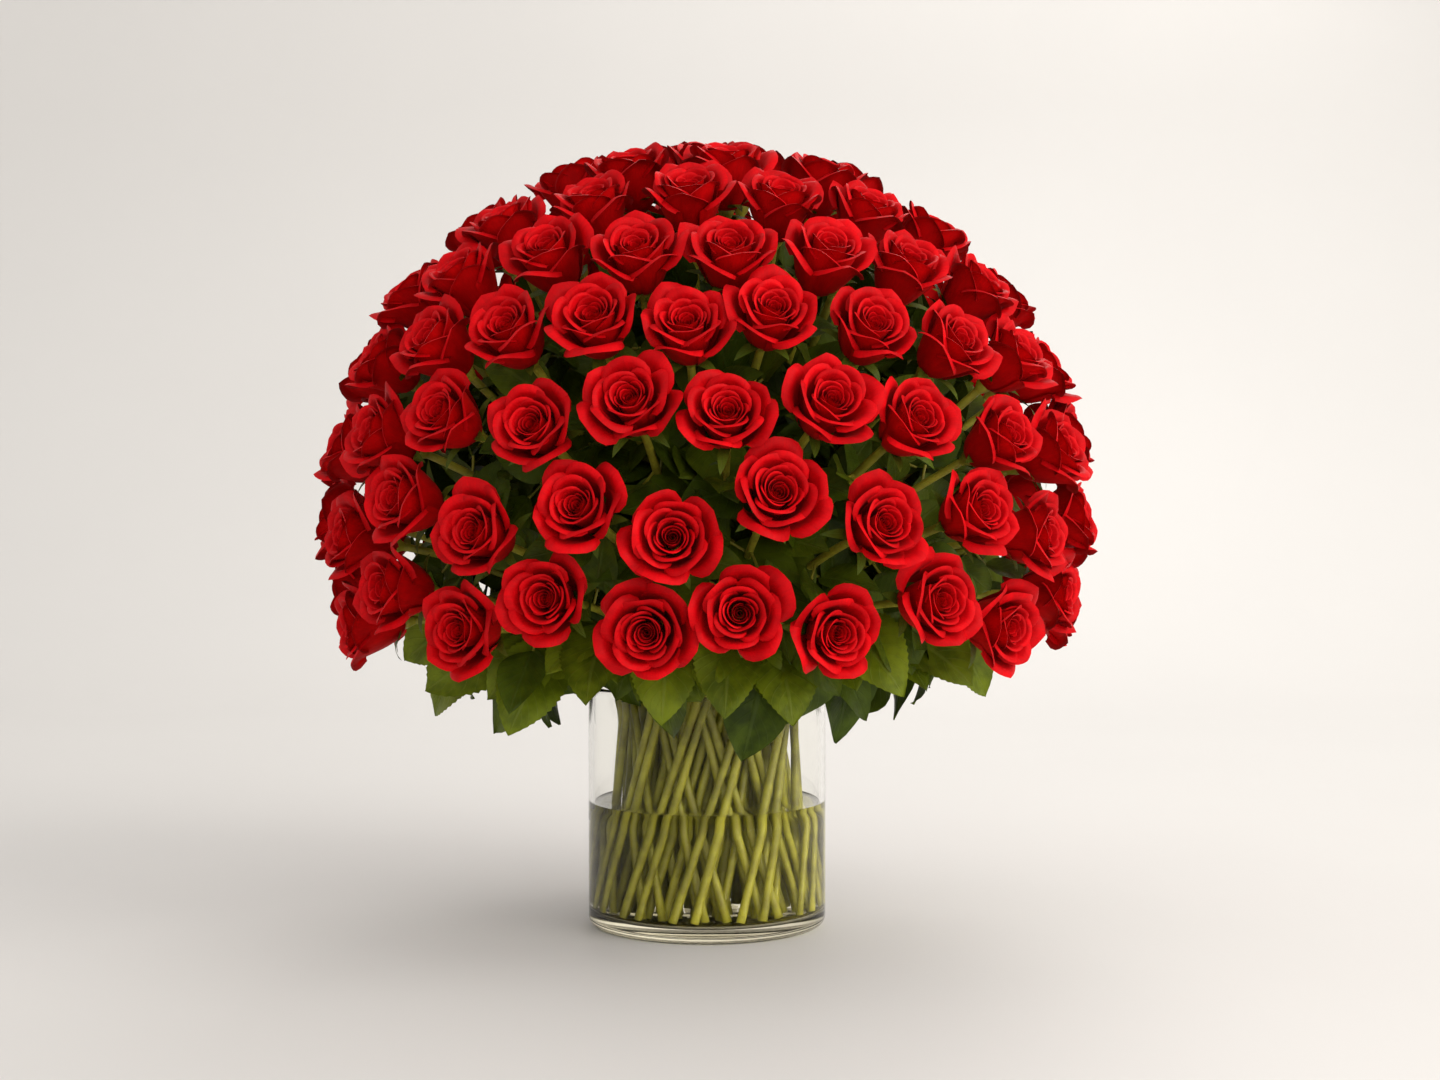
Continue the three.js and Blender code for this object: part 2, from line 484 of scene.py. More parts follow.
@dataclass(frozen=True)
class Ruffle:
    """How a petal departs from a plain shell. Lengths are in millimetres.

    Attributes:
        least: How ruffled the innermost petal is, as a share of the outermost.
        rise: How far the petal waves up and down at its end.
        rise_turns: How fast it does so from side to side.
        swell: How far it waves in and out.
        swell_turns: How fast it does so.
        overlap: How far one side tucks under the next petal.
        tuck: How far the sides of an outer petal draw in, as a share of its radius.
        taper: How much narrower an outer petal is at its end, as a share.
        taper_start: Where on the petal the taper begins.
        root_width: How wide the petal's root is, as a share.
        root_reach: How fast the root widens.
    """

    least: float = 0.2
    rise: float = 0.7
    rise_turns: float = 4.1
    swell: float = 0.6
    swell_turns: float = 3.4
    overlap: float = 0.7
    tuck: float = 0.07
    taper: float = 0.16
    taper_start: float = 0.6
    root_width: float = 0.85
    root_reach: float = 1.8


@dataclass
class Bloom:
    """A half-open rose head. It grows from its base along its axis.

    Attributes:
        whorls: The petals, from the heart outwards.
        golden: Angle from one petal to the next, in degrees.
        columns: Points across a petal.
        lip_rows: Points round the rolled lip.
        base: Radius of the head's base in millimetres.
        floor: Height of the petals' roots in millimetres.
        breadth: How much wider the head has opened than its whorls state.
        sizes: The least and the greatest size of a head.
        disorder: How far a petal strays round the axis, in degrees.
        heart: Radius of the innermost petal's root, as a share of the outermost's.
        belly: How much of its flank's width a petal has just above its root.
        belly_rise: How far above the root that is, in millimetres.
        shoulder: How far below the rim the flank begins to turn out, in millimetres.
        lip_start: Where the lip begins, from 0 at a petal's root to 1 at its edge.
        lip_thins: How much tighter the lip rolls at a petal's sides, as a share.
        lip_spread: How much of the petal's width keeps the roll of the middle. 1 is least.
        cloth: Half of a petal's width and its length when flattened, in metres.
        spread: How petals differ.
        ruffle: How petals are ruffled.
    """

    whorls: tuple[Whorl, ...] = (
        Whorl(9, (0.9, 5.0), (34.8, 38.2), (2.0, 4.9), (150, 90), (0.5, 0.9), (20, 45), (35, 75),
              0.0, 0.1, 2.6, 0.5, 4),
        Whorl(5, (6.5, 7.9), (38.9, 39.7), (6.2, 7.3), (80, 72), (1.2, 1.6), (52, 62), (85, 100),
              0.04, 0.12, 2.3, 0.4, 5),
        Whorl(5, (9.9, 11.6), (40.2, 40.6), (8.6, 10.0), (68, 63), (1.9, 2.4), (60, 70), (105, 115),
              0.1, 0.16, 1.8, 0.3, 7),
        Whorl(5, (14.2, 16.2), (40.2, 39.6), (11.8, 13.2), (60, 56), (3.6, 4.4), (56, 62), (112, 124),
              0.18, 0.22, 1.3, 0.0, 9),
        Whorl(5, (19.4, 21.6), (38.2, 36.4), (15.0, 16.4), (54, 51), (5.2, 6.0), (52, 66), (112, 128),
              0.27, 0.31, 1.05, 0.0, 9),
    )
    golden: float = 137.5
    columns: int = 11
    lip_rows: int = 4
    base: float = 4.6
    floor: float = 5.5
    breadth: float = 1.1
    sizes: tuple[float, float] = (0.965, 1.03)
    disorder: float = 5
    heart: float = 0.35
    belly: float = 0.75
    belly_rise: float = 3
    shoulder: float = 9
    lip_start: float = 0.86
    lip_thins: float = 0.6
    lip_spread: float = 1.6
    cloth: tuple[float, float] = (0.02, 0.04)
    spread: Spread = Spread()
    ruffle: Ruffle = Ruffle()

    def grow(self, skin: Skin, stand: Stand, rng: np.random.Generator) -> None:
        """Adds the head's petals.

        Args:
            skin: What the petals are added to.
            stand: Where the rose stands.
            rng: The rose's own source of chance.
        """
        upright = abs(stand.axis.z) > UPRIGHT
        frame3 = basis(stand.axis, Vector((0, 1, 0)) if upright else Vector((0, 0, 1)))
        turn = rng.uniform(0, 360)
        hand = 1 if rng.random() < 0.5 else -1
        size = rng.uniform(*self.sizes)
        stretch = size * np.array([self.breadth, self.breadth, 1.0])
        total = sum(whorl.count for whorl in self.whorls)
        number = 0
        for whorl in self.whorls:
            for k in range(whorl.count):
                share = k / max(whorl.count - 1, 1)
                age = number / (total - 1)
                angle = radians(turn + rng.normal(0, self.disorder))
                points, marks, cloth = self.petal(whorl, share, age, angle, hand, rng)
                points = np.array(stand.base) + (points * stretch) @ frame3
                skin.grid(points, Part.PETAL, marks, cloth)
                turn += hand * self.golden
                number += 1

    def petal(
        self,
        whorl: Whorl,
        share: float,
        age: float,
        turn: float,
        hand: int,
        rng: np.random.Generator,
    ) -> tuple[np.ndarray, np.ndarray, np.ndarray]:
        """One petal about the head's axis.

        Args:
            whorl: The petal's whorl.
            share: Its place in the whorl, from 0 for the first to 1 for the last.
            age: 0 for the head's innermost petal, 1 for the outermost.
            turn: The petal's place round the axis.
            hand: Which side of each petal tucks under the next, 1 or -1.
            rng: The rose's own source of chance.

        Returns:
            Points, marks and cloth places, each in rows and columns.
        """
        spread, ruffle = self.spread, self.ruffle

        def between(pair: tuple[float, float], most: float) -> float:
            """A value from the whorl's first to its last, astray by a share."""
            value = pair[0] + share * (pair[1] - pair[0])
            return value * (1 + most * float(np.clip(rng.normal(), -spread.most, spread.most)))

        rim_r = between(whorl.rim, spread.rim)
        rim_z = between(whorl.height, spread.height)
        flank = between(whorl.flank, spread.flank)
        half = radians(between(whorl.half, spread.half))
        lip = between(whorl.lip, spread.lip)
        curl_mid = radians(between(whorl.curl, spread.curl))
        curl_side = radians(between(whorl.side, spread.side))
        base = self.base * (self.heart + (1 - self.heart) * age)

        u = np.linspace(-1, 1, self.columns)
        edge = np.abs(u)
        end = 1 - whorl.fall * edge**whorl.point
        rows = np.linspace(whorl.start, 1, whorl.rows)[:, None]
        q = whorl.start + (rows - whorl.start) / (1 - whorl.start) * (end - whorl.start)[None, :]
        controls_r = (base, base + self.belly * (flank - base), flank, rim_r)
        controls_z = (self.floor, self.floor + self.belly_rise, rim_z - self.shoulder, rim_z)
        w = np.stack([(1 - q) ** 3, 3 * (1 - q) ** 2 * q, 3 * (1 - q) * q**2, q**3])
        r = sum(c * wk for c, wk in zip(controls_r, w))
        z = sum(c * wk for c, wk in zip(controls_z, w))

        # The lip rolls outwards from the way that the petal's end points.
        lean = np.arctan2(r[-1] - r[-2], z[-1] - z[-2])
        curl = curl_mid + (curl_side - curl_mid) * edge**self.lip_spread
        part = np.linspace(0, 1, self.lip_rows + 1)[1:, None] * curl[None, :]
        roll = lip * (1 - self.lip_thins * edge**3)
        lip_r = r[-1] + roll * (np.cos(lean) - np.cos(lean + part))
        lip_z = z[-1] + roll * (np.sin(lean + part) - np.sin(lean))
        r = np.concatenate([r, lip_r])
        z = np.concatenate([z, lip_z])
        start = self.lip_start
        along = np.concatenate([q * start, start + (1 - start) * part / curl[None, :]])

        waves = rng.uniform(0, 2 * math.pi, 3)
        loose = ruffle.least + (1 - ruffle.least) * age
        z = z + loose * ruffle.rise * np.sin(ruffle.rise_turns * u + waves[0])[None, :] * along**3
        r = r + loose * ruffle.swell * np.sin(ruffle.swell_turns * u + waves[1])[None, :] * along**2
        r = r + ruffle.overlap * hand * u[None, :] * np.minimum(along * 2, 1)
        r = r * (1 - ruffle.tuck * age * edge[None, :] ** 4 * along)
        end_share = np.clip((along - ruffle.taper_start) / (1 - ruffle.taper_start), 0, 1)
        narrow = 1 - ruffle.taper * age * end_share**2
        open_share = np.minimum(along * ruffle.root_reach, 1)
        angle = half * u[None, :] * (ruffle.root_width + (1 - ruffle.root_width) * open_share) * narrow
        ahead = r * (np.cos(angle) + whorl.flat * (1 - np.cos(angle)) * along)
        aside = r * np.sin(angle)
        x = ahead * math.cos(turn) - aside * math.sin(turn)
        y = ahead * math.sin(turn) + aside * math.cos(turn)
        points = np.stack([x, y, z], axis=-1) * MM

        chance = rng.random()
        shape = points.shape[:2]
        across = np.broadcast_to(u, shape)
        marks = np.stack([along, across, np.full(shape, age), np.full(shape, chance)], axis=-1)
        wide, long = self.cloth
        cloth = np.stack([across * wide, along * long, np.full(shape, chance)], axis=-1)
        return points, marks, cloth


@dataclass
class Calyx:
    """The green cup under a head, with its five sepals. Lengths are in metres.

    Attributes:
        sepals: How many sepals it has.
        sepal_length: A sepal's length.
        sepal_width: Its width.
        rows: Points along it.
        root: Radius and height over the head's base where it begins.
        lengths: The least and the greatest length, as shares.
        lean: How far it leans out at its root, in degrees, least and most.
        droop: How much further it leans at its tip, least and most.
        blunt: How far its root is from a point, as a share of its outline.
        fullness: How full its outline is. Less is fuller.
        trough: How steeply its two halves fall from its middle.
        unshaded_share: How much of the painted shade that darkens the leaves under the heads its sepals are
            spared, from 0 to 1.
        sides: Faces round the cup.
        cup: Height and radius of each ring of the cup, from below.
    """

    sepals: int = 5
    sepal_length: float = 0.024
    sepal_width: float = 0.0065
    rows: int = 8
    root: tuple[float, float] = (0.0045, 0.0055)
    lengths: tuple[float, float] = (0.8, 1.15)
    lean: tuple[float, float] = (38, 62)
    droop: tuple[float, float] = (35, 95)
    blunt: float = 0.16
    fullness: float = 0.8
    trough: float = 0.18
    unshaded_share: float = 0.7
    sides: int = 10
    cup: tuple[tuple[float, float], ...] = (
        (-0.001, 0.0026),
        (0.001, 0.0034),
        (0.003, 0.0046),
        (0.0055, 0.0052),
        (0.008, 0.0046),
    )

    def grow(self, skin: Skin, stand: Stand, rng: np.random.Generator) -> None:
        """Adds the cup and the sepals.

        Args:
            skin: What they are added to.
            stand: Where the rose stands.
            rng: The rose's own source of chance.
        """
        upright = abs(stand.axis.z) >= UPRIGHT
        frame3 = basis(stand.axis, Vector((0, 1, 0)) if upright else Vector((0.3, 0.2, 1)))
        origin = np.array(stand.base)
        turns = np.linspace(0, 2 * math.pi, self.sides + 1)[:-1]
        rings = [
            np.stack([radius * np.cos(turns), radius * np.sin(turns), np.full(self.sides, height)], axis=-1)
            for height, radius in self.cup
        ]
        points = origin + np.stack(rings) @ frame3
        marks = np.zeros(points.shape[:2] + (4,))
        marks[..., 0] = 1.0
        marks[..., 3] = rng.random()
        skin.grid(points, Part.STEM, marks, points.copy(), closed=True)
        start = rng.uniform(0, 2 * math.pi)
        for k in range(self.sepals):
            self.sepal(skin, origin, frame3, start + 2 * math.pi * k / self.sepals, rng)

    def sepal(
        self,
        skin: Skin,
        origin: np.ndarray,
        frame3: np.ndarray,
        turn: float,
        rng: np.random.Generator,
    ) -> None:
        """Adds one sepal, a narrow pointed blade that bends away from the petals.

        Args:
            skin: What it is added to.
            origin: The head's base.
            frame3: The head's frame.
            turn: Where the sepal stands round the cup.
            rng: The rose's own source of chance.
        """
        s = np.linspace(0, 1, self.rows)
        length = self.sepal_length * rng.uniform(*self.lengths)
        lean = radians(rng.uniform(*self.lean)) + radians(rng.uniform(*self.droop)) * s**1.5
        step = length / (self.rows - 1)
        r = self.root[0] + np.concatenate([[0], np.cumsum(np.sin(lean[:-1]) * step)])
        z = self.root[1] + np.concatenate([[0], np.cumsum(np.cos(lean[:-1]) * step)])
        outline = np.sin(math.pi * np.clip(self.blunt + (1 - self.blunt) * s, 0, 1))
        width = self.sepal_width / 2 * outline**self.fullness
        u = np.array([-1.0, 0.0, 1.0])
        side = width[:, None] * u[None, :]
        lift = -self.trough * np.abs(side)
        ahead = r[:, None] + lift
        x = ahead * math.cos(turn) - side * math.sin(turn)
        y = ahead * math.sin(turn) + side * math.cos(turn)
        points = origin + np.stack([x, y, z[:, None] + 0 * x], axis=-1) @ frame3
        marks = np.zeros(points.shape[:2] + (4,))
        marks[..., 0] = s[:, None]
        marks[..., 1] = u[None, :]
        # The sepals get part of the painted shade that darkens the leaves under the heads.
        marks[..., 2] = self.unshaded_share
        marks[..., 3] = rng.random()
        skin.grid(points, Part.LEAF, marks, points.copy())


@dataclass
class Stem:
    """A rose's stem, from its cut foot to its head. Lengths are in metres.

    Attributes:
        radius: Its radius.
        spread: How far stems differ in it, as a share.
        foot: How much thicker its foot is.
        taper: How much thinner it gets up to its head, as a share.
        knots: How far it thickens and thins on the way, as a share.
        knot_turns: How fast it does so, in radians a metre.
        knot_shift: How far one stem's knots are from another's, in radians.
        cut: Height of the pale band at its cut end.
        sides: Faces round it.
        lower_rows: Points from its foot to the waist.
        upper_rows: Steps from the waist to its head.
    """

    radius: float = 0.0026
    spread: float = 0.05
    foot: float = 1.04
    taper: float = 0.12
    knots: float = 0.05
    knot_turns: float = 60
    knot_shift: float = 5
    cut: float = 0.001
    sides: int = 10
    lower_rows: int = 8
    upper_rows: int = 22

    def grow(self, skin: Skin, stand: Stand, rng: np.random.Generator) -> None:
        """Adds the stem.

        Args:
            skin: What it is added to.
            stand: Where the rose stands.
            rng: The rose's own source of chance.
        """
        waist = stand.curve[0]
        line = [stand.foot.lerp(waist, k / self.lower_rows) for k in range(self.lower_rows)]
        line += [stand.point(k / self.upper_rows) for k in range(self.upper_rows + 1)]
        path = np.array(line)
        lengths = np.concatenate([[0], np.cumsum(np.linalg.norm(np.diff(path, axis=0), axis=1))])
        tangents = np.gradient(path, axis=0)
        tangents /= np.linalg.norm(tangents, axis=1)[:, None]
        first = np.empty_like(tangents)
        guide = np.cross(tangents[0], [1.0, 0.2, 0.0])
        for k, along in enumerate(tangents):
            guide = guide - along * guide.dot(along)
            guide /= np.linalg.norm(guide)
            first[k] = guide
        second = np.cross(tangents, first)
        girth = self.radius * (1 + self.spread * stray(stand.index, Purpose.GIRTH))
        shift = self.knot_shift * stray(stand.index, Purpose.KNOTS)
        knots = 1 + self.knots * np.sin(lengths * self.knot_turns + shift)
        radii = girth * knots * (self.foot - self.taper * lengths / lengths[-1])
        turns = np.linspace(0, 2 * math.pi, self.sides, endpoint=False)
        ring = (
            first[:, None, :] * np.cos(turns)[None, :, None]
            + second[:, None, :] * np.sin(turns)[None, :, None]
        )
        points = path[:, None, :] + ring * radii[:, None, None]
        tip = np.repeat(path[:1, None, :], self.sides, axis=1)
        points = np.concatenate([tip, points[:1], points])
        lengths = np.concatenate([[-self.cut, 0], lengths])
        marks = np.zeros(points.shape[:2] + (4,))
        marks[..., 0] = np.clip(lengths / lengths[-1], 0, 1)[:, None]
        marks[0, :, 2] = 1.0
        marks[..., 1] = np.cos(turns)[None, :]
        marks[..., 3] = rng.random()
        cloth = np.stack(
            [
                np.broadcast_to(np.cos(turns) * self.radius, points.shape[:2]),
                np.broadcast_to(np.sin(turns) * self.radius, points.shape[:2]),
                np.broadcast_to(lengths[:, None], points.shape[:2]) + rng.random(),
            ],
            axis=-1,
        )
        skin.grid(points, Part.STEM, marks, cloth, closed=True)


@dataclass
class Leaf:
    """A broad pointed leaf blade. Lengths are in metres.

    Attributes:
        length: From its root to its tip.
        width: Across its broadest part.
        rows: Points along it. Every other row is the tip of a tooth.
        columns: Points across it.
        fold: How steeply its two halves rise from the midrib.
        bend: How far it bends down from root to tip, in degrees.
        teeth: How deep its edge is toothed, as a share of its half width.
        blunt: How wide its root is, as a share of its outline.
        root_power: How fast it widens from its root. Less is faster.
        tip_power: How fast it narrows to its tip. 1 is straight.
        set_out: How steeply it rises at its root, in degrees.
        bends: The least and the greatest bend, as shares of it.
        lengths: The least and the greatest length, as shares of it.
        twist: How far it twists from root to tip, in radians, as a standard deviation.
        ripple: How far its edge waves up and down.
        ripple_turns: How fast it does so from root to tip, in radians.
    """

    length: float = 0.05
    width: float = 0.032
    rows: int = 11
    columns: int = 9
    fold: float = 0.22
    bend: float = 55
    teeth: float = 0.0
    blunt: float = 0.012
    root_power: float = 0.66
    tip_power: float = 0.98
    set_out: float = 6
    bends: tuple[float, float] = (0.6, 1.3)
    lengths: tuple[float, float] = (0.92, 1.08)
    twist: float = 0.18
    ripple: float = 0.0012
    ripple_turns: float = 9

    def grow(
        self,
        skin: Skin,
        root: Vector,
        along: Vector,
        up: Vector,
        rng: np.random.Generator,
        size: float = 1.0,
        unshaded_share: float = 1.0,
    ) -> None:
        """Adds a blade.

        Args:
            skin: What it is added to.
            root: Where the blade begins.
            along: The way that it sets out.
            up: The way that its upper face looks.
            rng: The rose's own source of chance.
            size: Its size, 1 for the full length.
            unshaded_share: 1 for a leaf without painted shade, 0 for one under the full painted shade.
        """
        frame3 = basis(up, along)
        s = np.linspace(0, 1, self.rows)
        length = self.length * size * rng.uniform(*self.lengths)
        pitch = -radians(self.bend * rng.uniform(*self.bends)) * s**1.3 + radians(self.set_out)
        step = length / (self.rows - 1)
        x = np.concatenate([[0], np.cumsum(np.cos(pitch[:-1]) * step)])
        z = np.concatenate([[0], np.cumsum(np.sin(pitch[:-1]) * step)])
        shape = (s + self.blunt) ** self.root_power * (1 - s) ** self.tip_power
        width = self.width / 2 * size * shape / shape.max()
        u = np.linspace(-1, 1, self.columns)
        tooth = self.teeth * np.where(np.arange(self.rows) % 2 == 1, 1.0, -1.0)
        side = width[:, None] * u[None, :] * (1 + tooth[:, None] * np.abs(u[None, :]) ** 8)
        waves = rng.uniform(0, 2 * math.pi, 2)
        twist = rng.normal(0, self.twist) * s
        lift = self.fold * np.abs(side)
        wave = np.sin(self.ripple_turns * s[:, None] + waves[0] + 2 * u[None, :])
        lift = lift + self.ripple * size * wave * u[None, :] ** 2
        lift = lift + side * twist[:, None]
        local = np.stack(
            [
                x[:, None] - np.sin(pitch)[:, None] * lift,
                side,
                z[:, None] + np.cos(pitch)[:, None] * lift,
            ],
            axis=-1,
        )
        points = np.array(root) + local @ frame3
        marks = np.zeros(points.shape[:2] + (4,))
        marks[..., 0] = s[:, None]
        marks[..., 1] = u[None, :]
        # How much of the painted shade the leaf is spared.
        marks[..., 2] = unshaded_share
        marks[..., 3] = rng.random()
        cloth = np.stack(
            [
                np.broadcast_to(s[:, None] * length, side.shape),
                side,
                np.full(side.shape, rng.random()),
            ],
            axis=-1,
        )
        skin.grid(points[:, ::-1], Part.LEAF, marks[:, ::-1], cloth[:, ::-1])


@dataclass
class Twig:
    """A thin stalk between a stem and a leaf. Lengths are in metres."""

    radius: float = 0.0009
    sides: int = 5
    rows: int = 5

    def grow(self, skin: Skin, start: Vector, middle: Vector, end: Vector) -> None:
        """Adds the stalk as a quadratic curve.

        Args:
            skin: What it is added to.
            start: Its root on the stem.
            middle: The point that draws the curve.
            end: Where the blade begins.
        """
        t = np.linspace(0, 1, self.rows)[:, None]
        path = (
            np.array(start) * (1 - t) ** 2 + np.array(middle) * 2 * t * (1 - t) + np.array(end) * t**2
        )
        along = (end - start).normalized()
        frame3 = basis(along, Vector((0.2, 0.9, 0.4)))
        turns = np.linspace(0, 2 * math.pi, self.sides, endpoint=False)
        ring = frame3[0][None, :] * np.cos(turns)[:, None] + frame3[1][None, :] * np.sin(turns)[:, None]
        points = path[:, None, :] + ring[None, :, :] * self.radius
        marks = np.zeros(points.shape[:2] + (4,))
        marks[..., 0] = 0.8
        skin.grid(points, Part.STEM, marks, points.copy(), closed=True)


@dataclass(frozen=True)
class Seat:
    """Where a collar leaf grows.

    Attributes:
        aside: How far it points to one side of its own head, in degrees.
        along: Where on the upper stem it grows, from 0 at the waist to 1 at the head.
        size: Its size.
    """

    aside: float
    along: float
    size: float


@dataclass(frozen=True)
class Layer:
    """One kind of the leaves under a head.

    Attributes:
        below: How far under the head the first place is, in metres.
        step: How much lower each next place is.
        swing: How far such a leaf rises towards the head, in degrees, least and most.
        size: Its size, least and most.
    """

    below: float
    step: float
    swing: tuple[float, float]
    size: tuple[float, float]


@dataclass
class Rose:
    """One long-stemmed rose: stem, calyx, petals and leaves, which grew as one piece.

    Attributes:
        bloom: Its petals.
        calyx: Its cup and sepals.
        stem: Its stem.
        twig: Its leaves' stalks.
        collar_leaf: A leaf of the collar.
        upper_leaf: A leaf under the head.
        inner_leaves: How many leaves are under the head. Every other one is deep.
        deep: The deep leaves.
        low: The leaves between them in the lower rings.
        high: The leaves between them in the upper rings.
        high_from: The first of the upper rings.
        leafless: How far down the upper stem leaves grow, from 0 at the head to 1 at the waist.
        root_reach: A stalk's least and greatest length, in metres.
        lolling: How far a leaf under the head rolls, in radians, as a standard deviation.
        most_unshaded: The most of the painted shade among the heads that a leaf under a head is spared,
            from 0 to 1.
        scatter: How far such leaves stray from even places round the stem, in radians.
        stalk_lean: How much their stalks point to the side and up.
        stalk_bow: How far the stalks bow, in metres.
        collar_seats: Where the collar leaves grow.
        collar_droop: How far they hang, in degrees.
        collar_stray: How far they stray aside and in their droop, in degrees.
        collar_step: How much less each next one hangs.
        collar_roll: How far they roll at the flanks, and how far that strays.
        collar_stalk: How far their stalks reach out and sink, in metres.
        flank_growth: How much larger they are at the flanks, as a share.
    """

    bloom: Bloom = field(default_factory=Bloom)
    calyx: Calyx = field(default_factory=Calyx)
    stem: Stem = field(default_factory=Stem)
    twig: Twig = field(default_factory=Twig)
    collar_leaf: Leaf = field(default_factory=lambda: Leaf(0.060, 0.041, rows=37, teeth=0.035))
    upper_leaf: Leaf = field(default_factory=lambda: Leaf(0.042, 0.027, bend=30))
    inner_leaves: int = 8
    deep: Layer = Layer(0.05, 0.016, (-8, 14), (1.2, 1.56))
    low: Layer = Layer(0.02, 0.007, (26, 54), (0.76, 1.02))
    high: Layer = Layer(0.022, 0.007, (35, 65), (0.9, 1.2))
    high_from: int = 3
    leafless: float = 0.42
    root_reach: tuple[float, float] = (0.008, 0.016)
    lolling: float = 0.35
    most_unshaded: float = 0.5
    scatter: float = 0.2
    stalk_lean: tuple[float, float] = (0.9, 0.3)
    stalk_bow: float = 0.002
    collar_seats: tuple[Seat, ...] = (
        Seat(0.0, 0.72, 0.94),
        Seat(-20.0, 0.68, 0.78),
        Seat(22.0, 0.64, 0.72),
    )
    collar_droop: float = 34
    collar_stray: tuple[float, float] = (9, 11)
    collar_step: float = 4
    collar_roll: tuple[float, float] = (54, 12)
    collar_stalk: tuple[float, float] = (0.006, 0.003)
    flank_growth: float = 0.16

    def grow(self, stand: Stand, materials: list[bpy.types.Material]) -> bpy.types.Object:
        """Builds one rose on its stand.

        Args:
            stand: Where it stands.
            materials: Its materials, in the order of Part.

        Returns:
            The finished piece.
        """
        rng = np.random.default_rng(FIRST_SEED + stand.index)
        skin = Skin()
        self.bloom.grow(skin, stand, rng)
        self.calyx.grow(skin, stand, rng)
        self.stem.grow(skin, stand, rng)
        if stand.level == 0:
            self.collar(skin, stand, rng)
        self.upper_leaves(skin, stand, rng)
        return skin.piece(f"rose_{stand.index + 1:03d}", materials)

    def collar(self, skin: Skin, stand: Stand, rng: np.random.Generator) -> None:
        """Adds the drooping leaves of the collar under the lowest heads.

        Args:
            skin: What they are added to.
            stand: Where the rose stands.
            rng: The rose's own source of chance.
        """
        for k, seat in enumerate(self.collar_seats):
            shift = self.collar_stray[0] * stray(stand.index, Purpose.LEAF_ASIDE + PURPOSES_PER_LEAF * k)
            sag = self.collar_stray[1] * stray(stand.index, Purpose.LEAF_DROOP + PURPOSES_PER_LEAF * k)
            azimuth = stand.azimuth + radians(seat.aside + shift)
            droop = radians(self.collar_droop + sag - self.collar_step * k)
            outward = cylindrical(1, azimuth, 0)
            along = outward * math.cos(droop) - Vector((0, 0, math.sin(droop)))
            across = Vector((0, 0, 1)).cross(outward).normalized()
            up = along.cross(across)
            if up.z < 0:
                up = -up
            flank = math.sin(azimuth)
            roll = self.collar_roll[0] * flank + rng.normal(0, self.collar_roll[1])
            up = turned(up, along, radians(roll))
            start = stand.point(seat.along)
            root = start + along * self.collar_stalk[0] - Vector((0, 0, self.collar_stalk[1]))
            self.twig.grow(skin, start, start.lerp(root, 0.5), root)
            size = seat.size * (1 + self.flank_growth * abs(flank))
            self.collar_leaf.grow(skin, root, along, up, rng, size)

    def upper_leaves(self, skin: Skin, stand: Stand, rng: np.random.Generator) -> None:
        """Adds the leaves under the head, which fill the gaps between the heads.

        Args:
            skin: What they are added to.
            stand: Where the rose stands.
            rng: The rose's own source of chance.
        """
        out = stand.axis
        east = cylindrical(1, stand.azimuth + math.pi / 2, 0)
        north = out.cross(east)
        reach = (stand.base - stand.curve[0]).length
        turn = rng.uniform(0, 2 * math.pi)
        between = self.low if stand.level < self.high_from else self.high
        for k in range(self.inner_leaves):
            around = turn + 2 * math.pi * k / self.inner_leaves + rng.normal(0, self.scatter)
            side = east * math.cos(around) + north * math.sin(around)
            layer = self.deep if k % 2 == 0 else between
            below = layer.below + layer.step * k
            swing = radians(rng.uniform(*layer.swing))
            size = rng.uniform(*layer.size)
            start = stand.point(1 - min(below / reach, self.leafless))
            along = side * math.cos(swing) + out * math.sin(swing)
            lean = side * self.stalk_lean[0] + out * self.stalk_lean[1]
            root = start + lean * rng.uniform(*self.root_reach)
            face = out * math.cos(swing) - side * math.sin(swing)
            face = turned(face, along, rng.normal(0, self.lolling))
            self.twig.grow(skin, start, start.lerp(root, 0.5) + side * self.stalk_bow, root)
            # Each leaf under a head gets a painted shade of random strength, for the shade among the heads.
            self.upper_leaf.grow(skin, root, along, face, rng, size, rng.uniform(0.0, self.most_unshaded))


# ---------------------------------------------------------------------------------------------
# Materials
# ---------------------------------------------------------------------------------------------


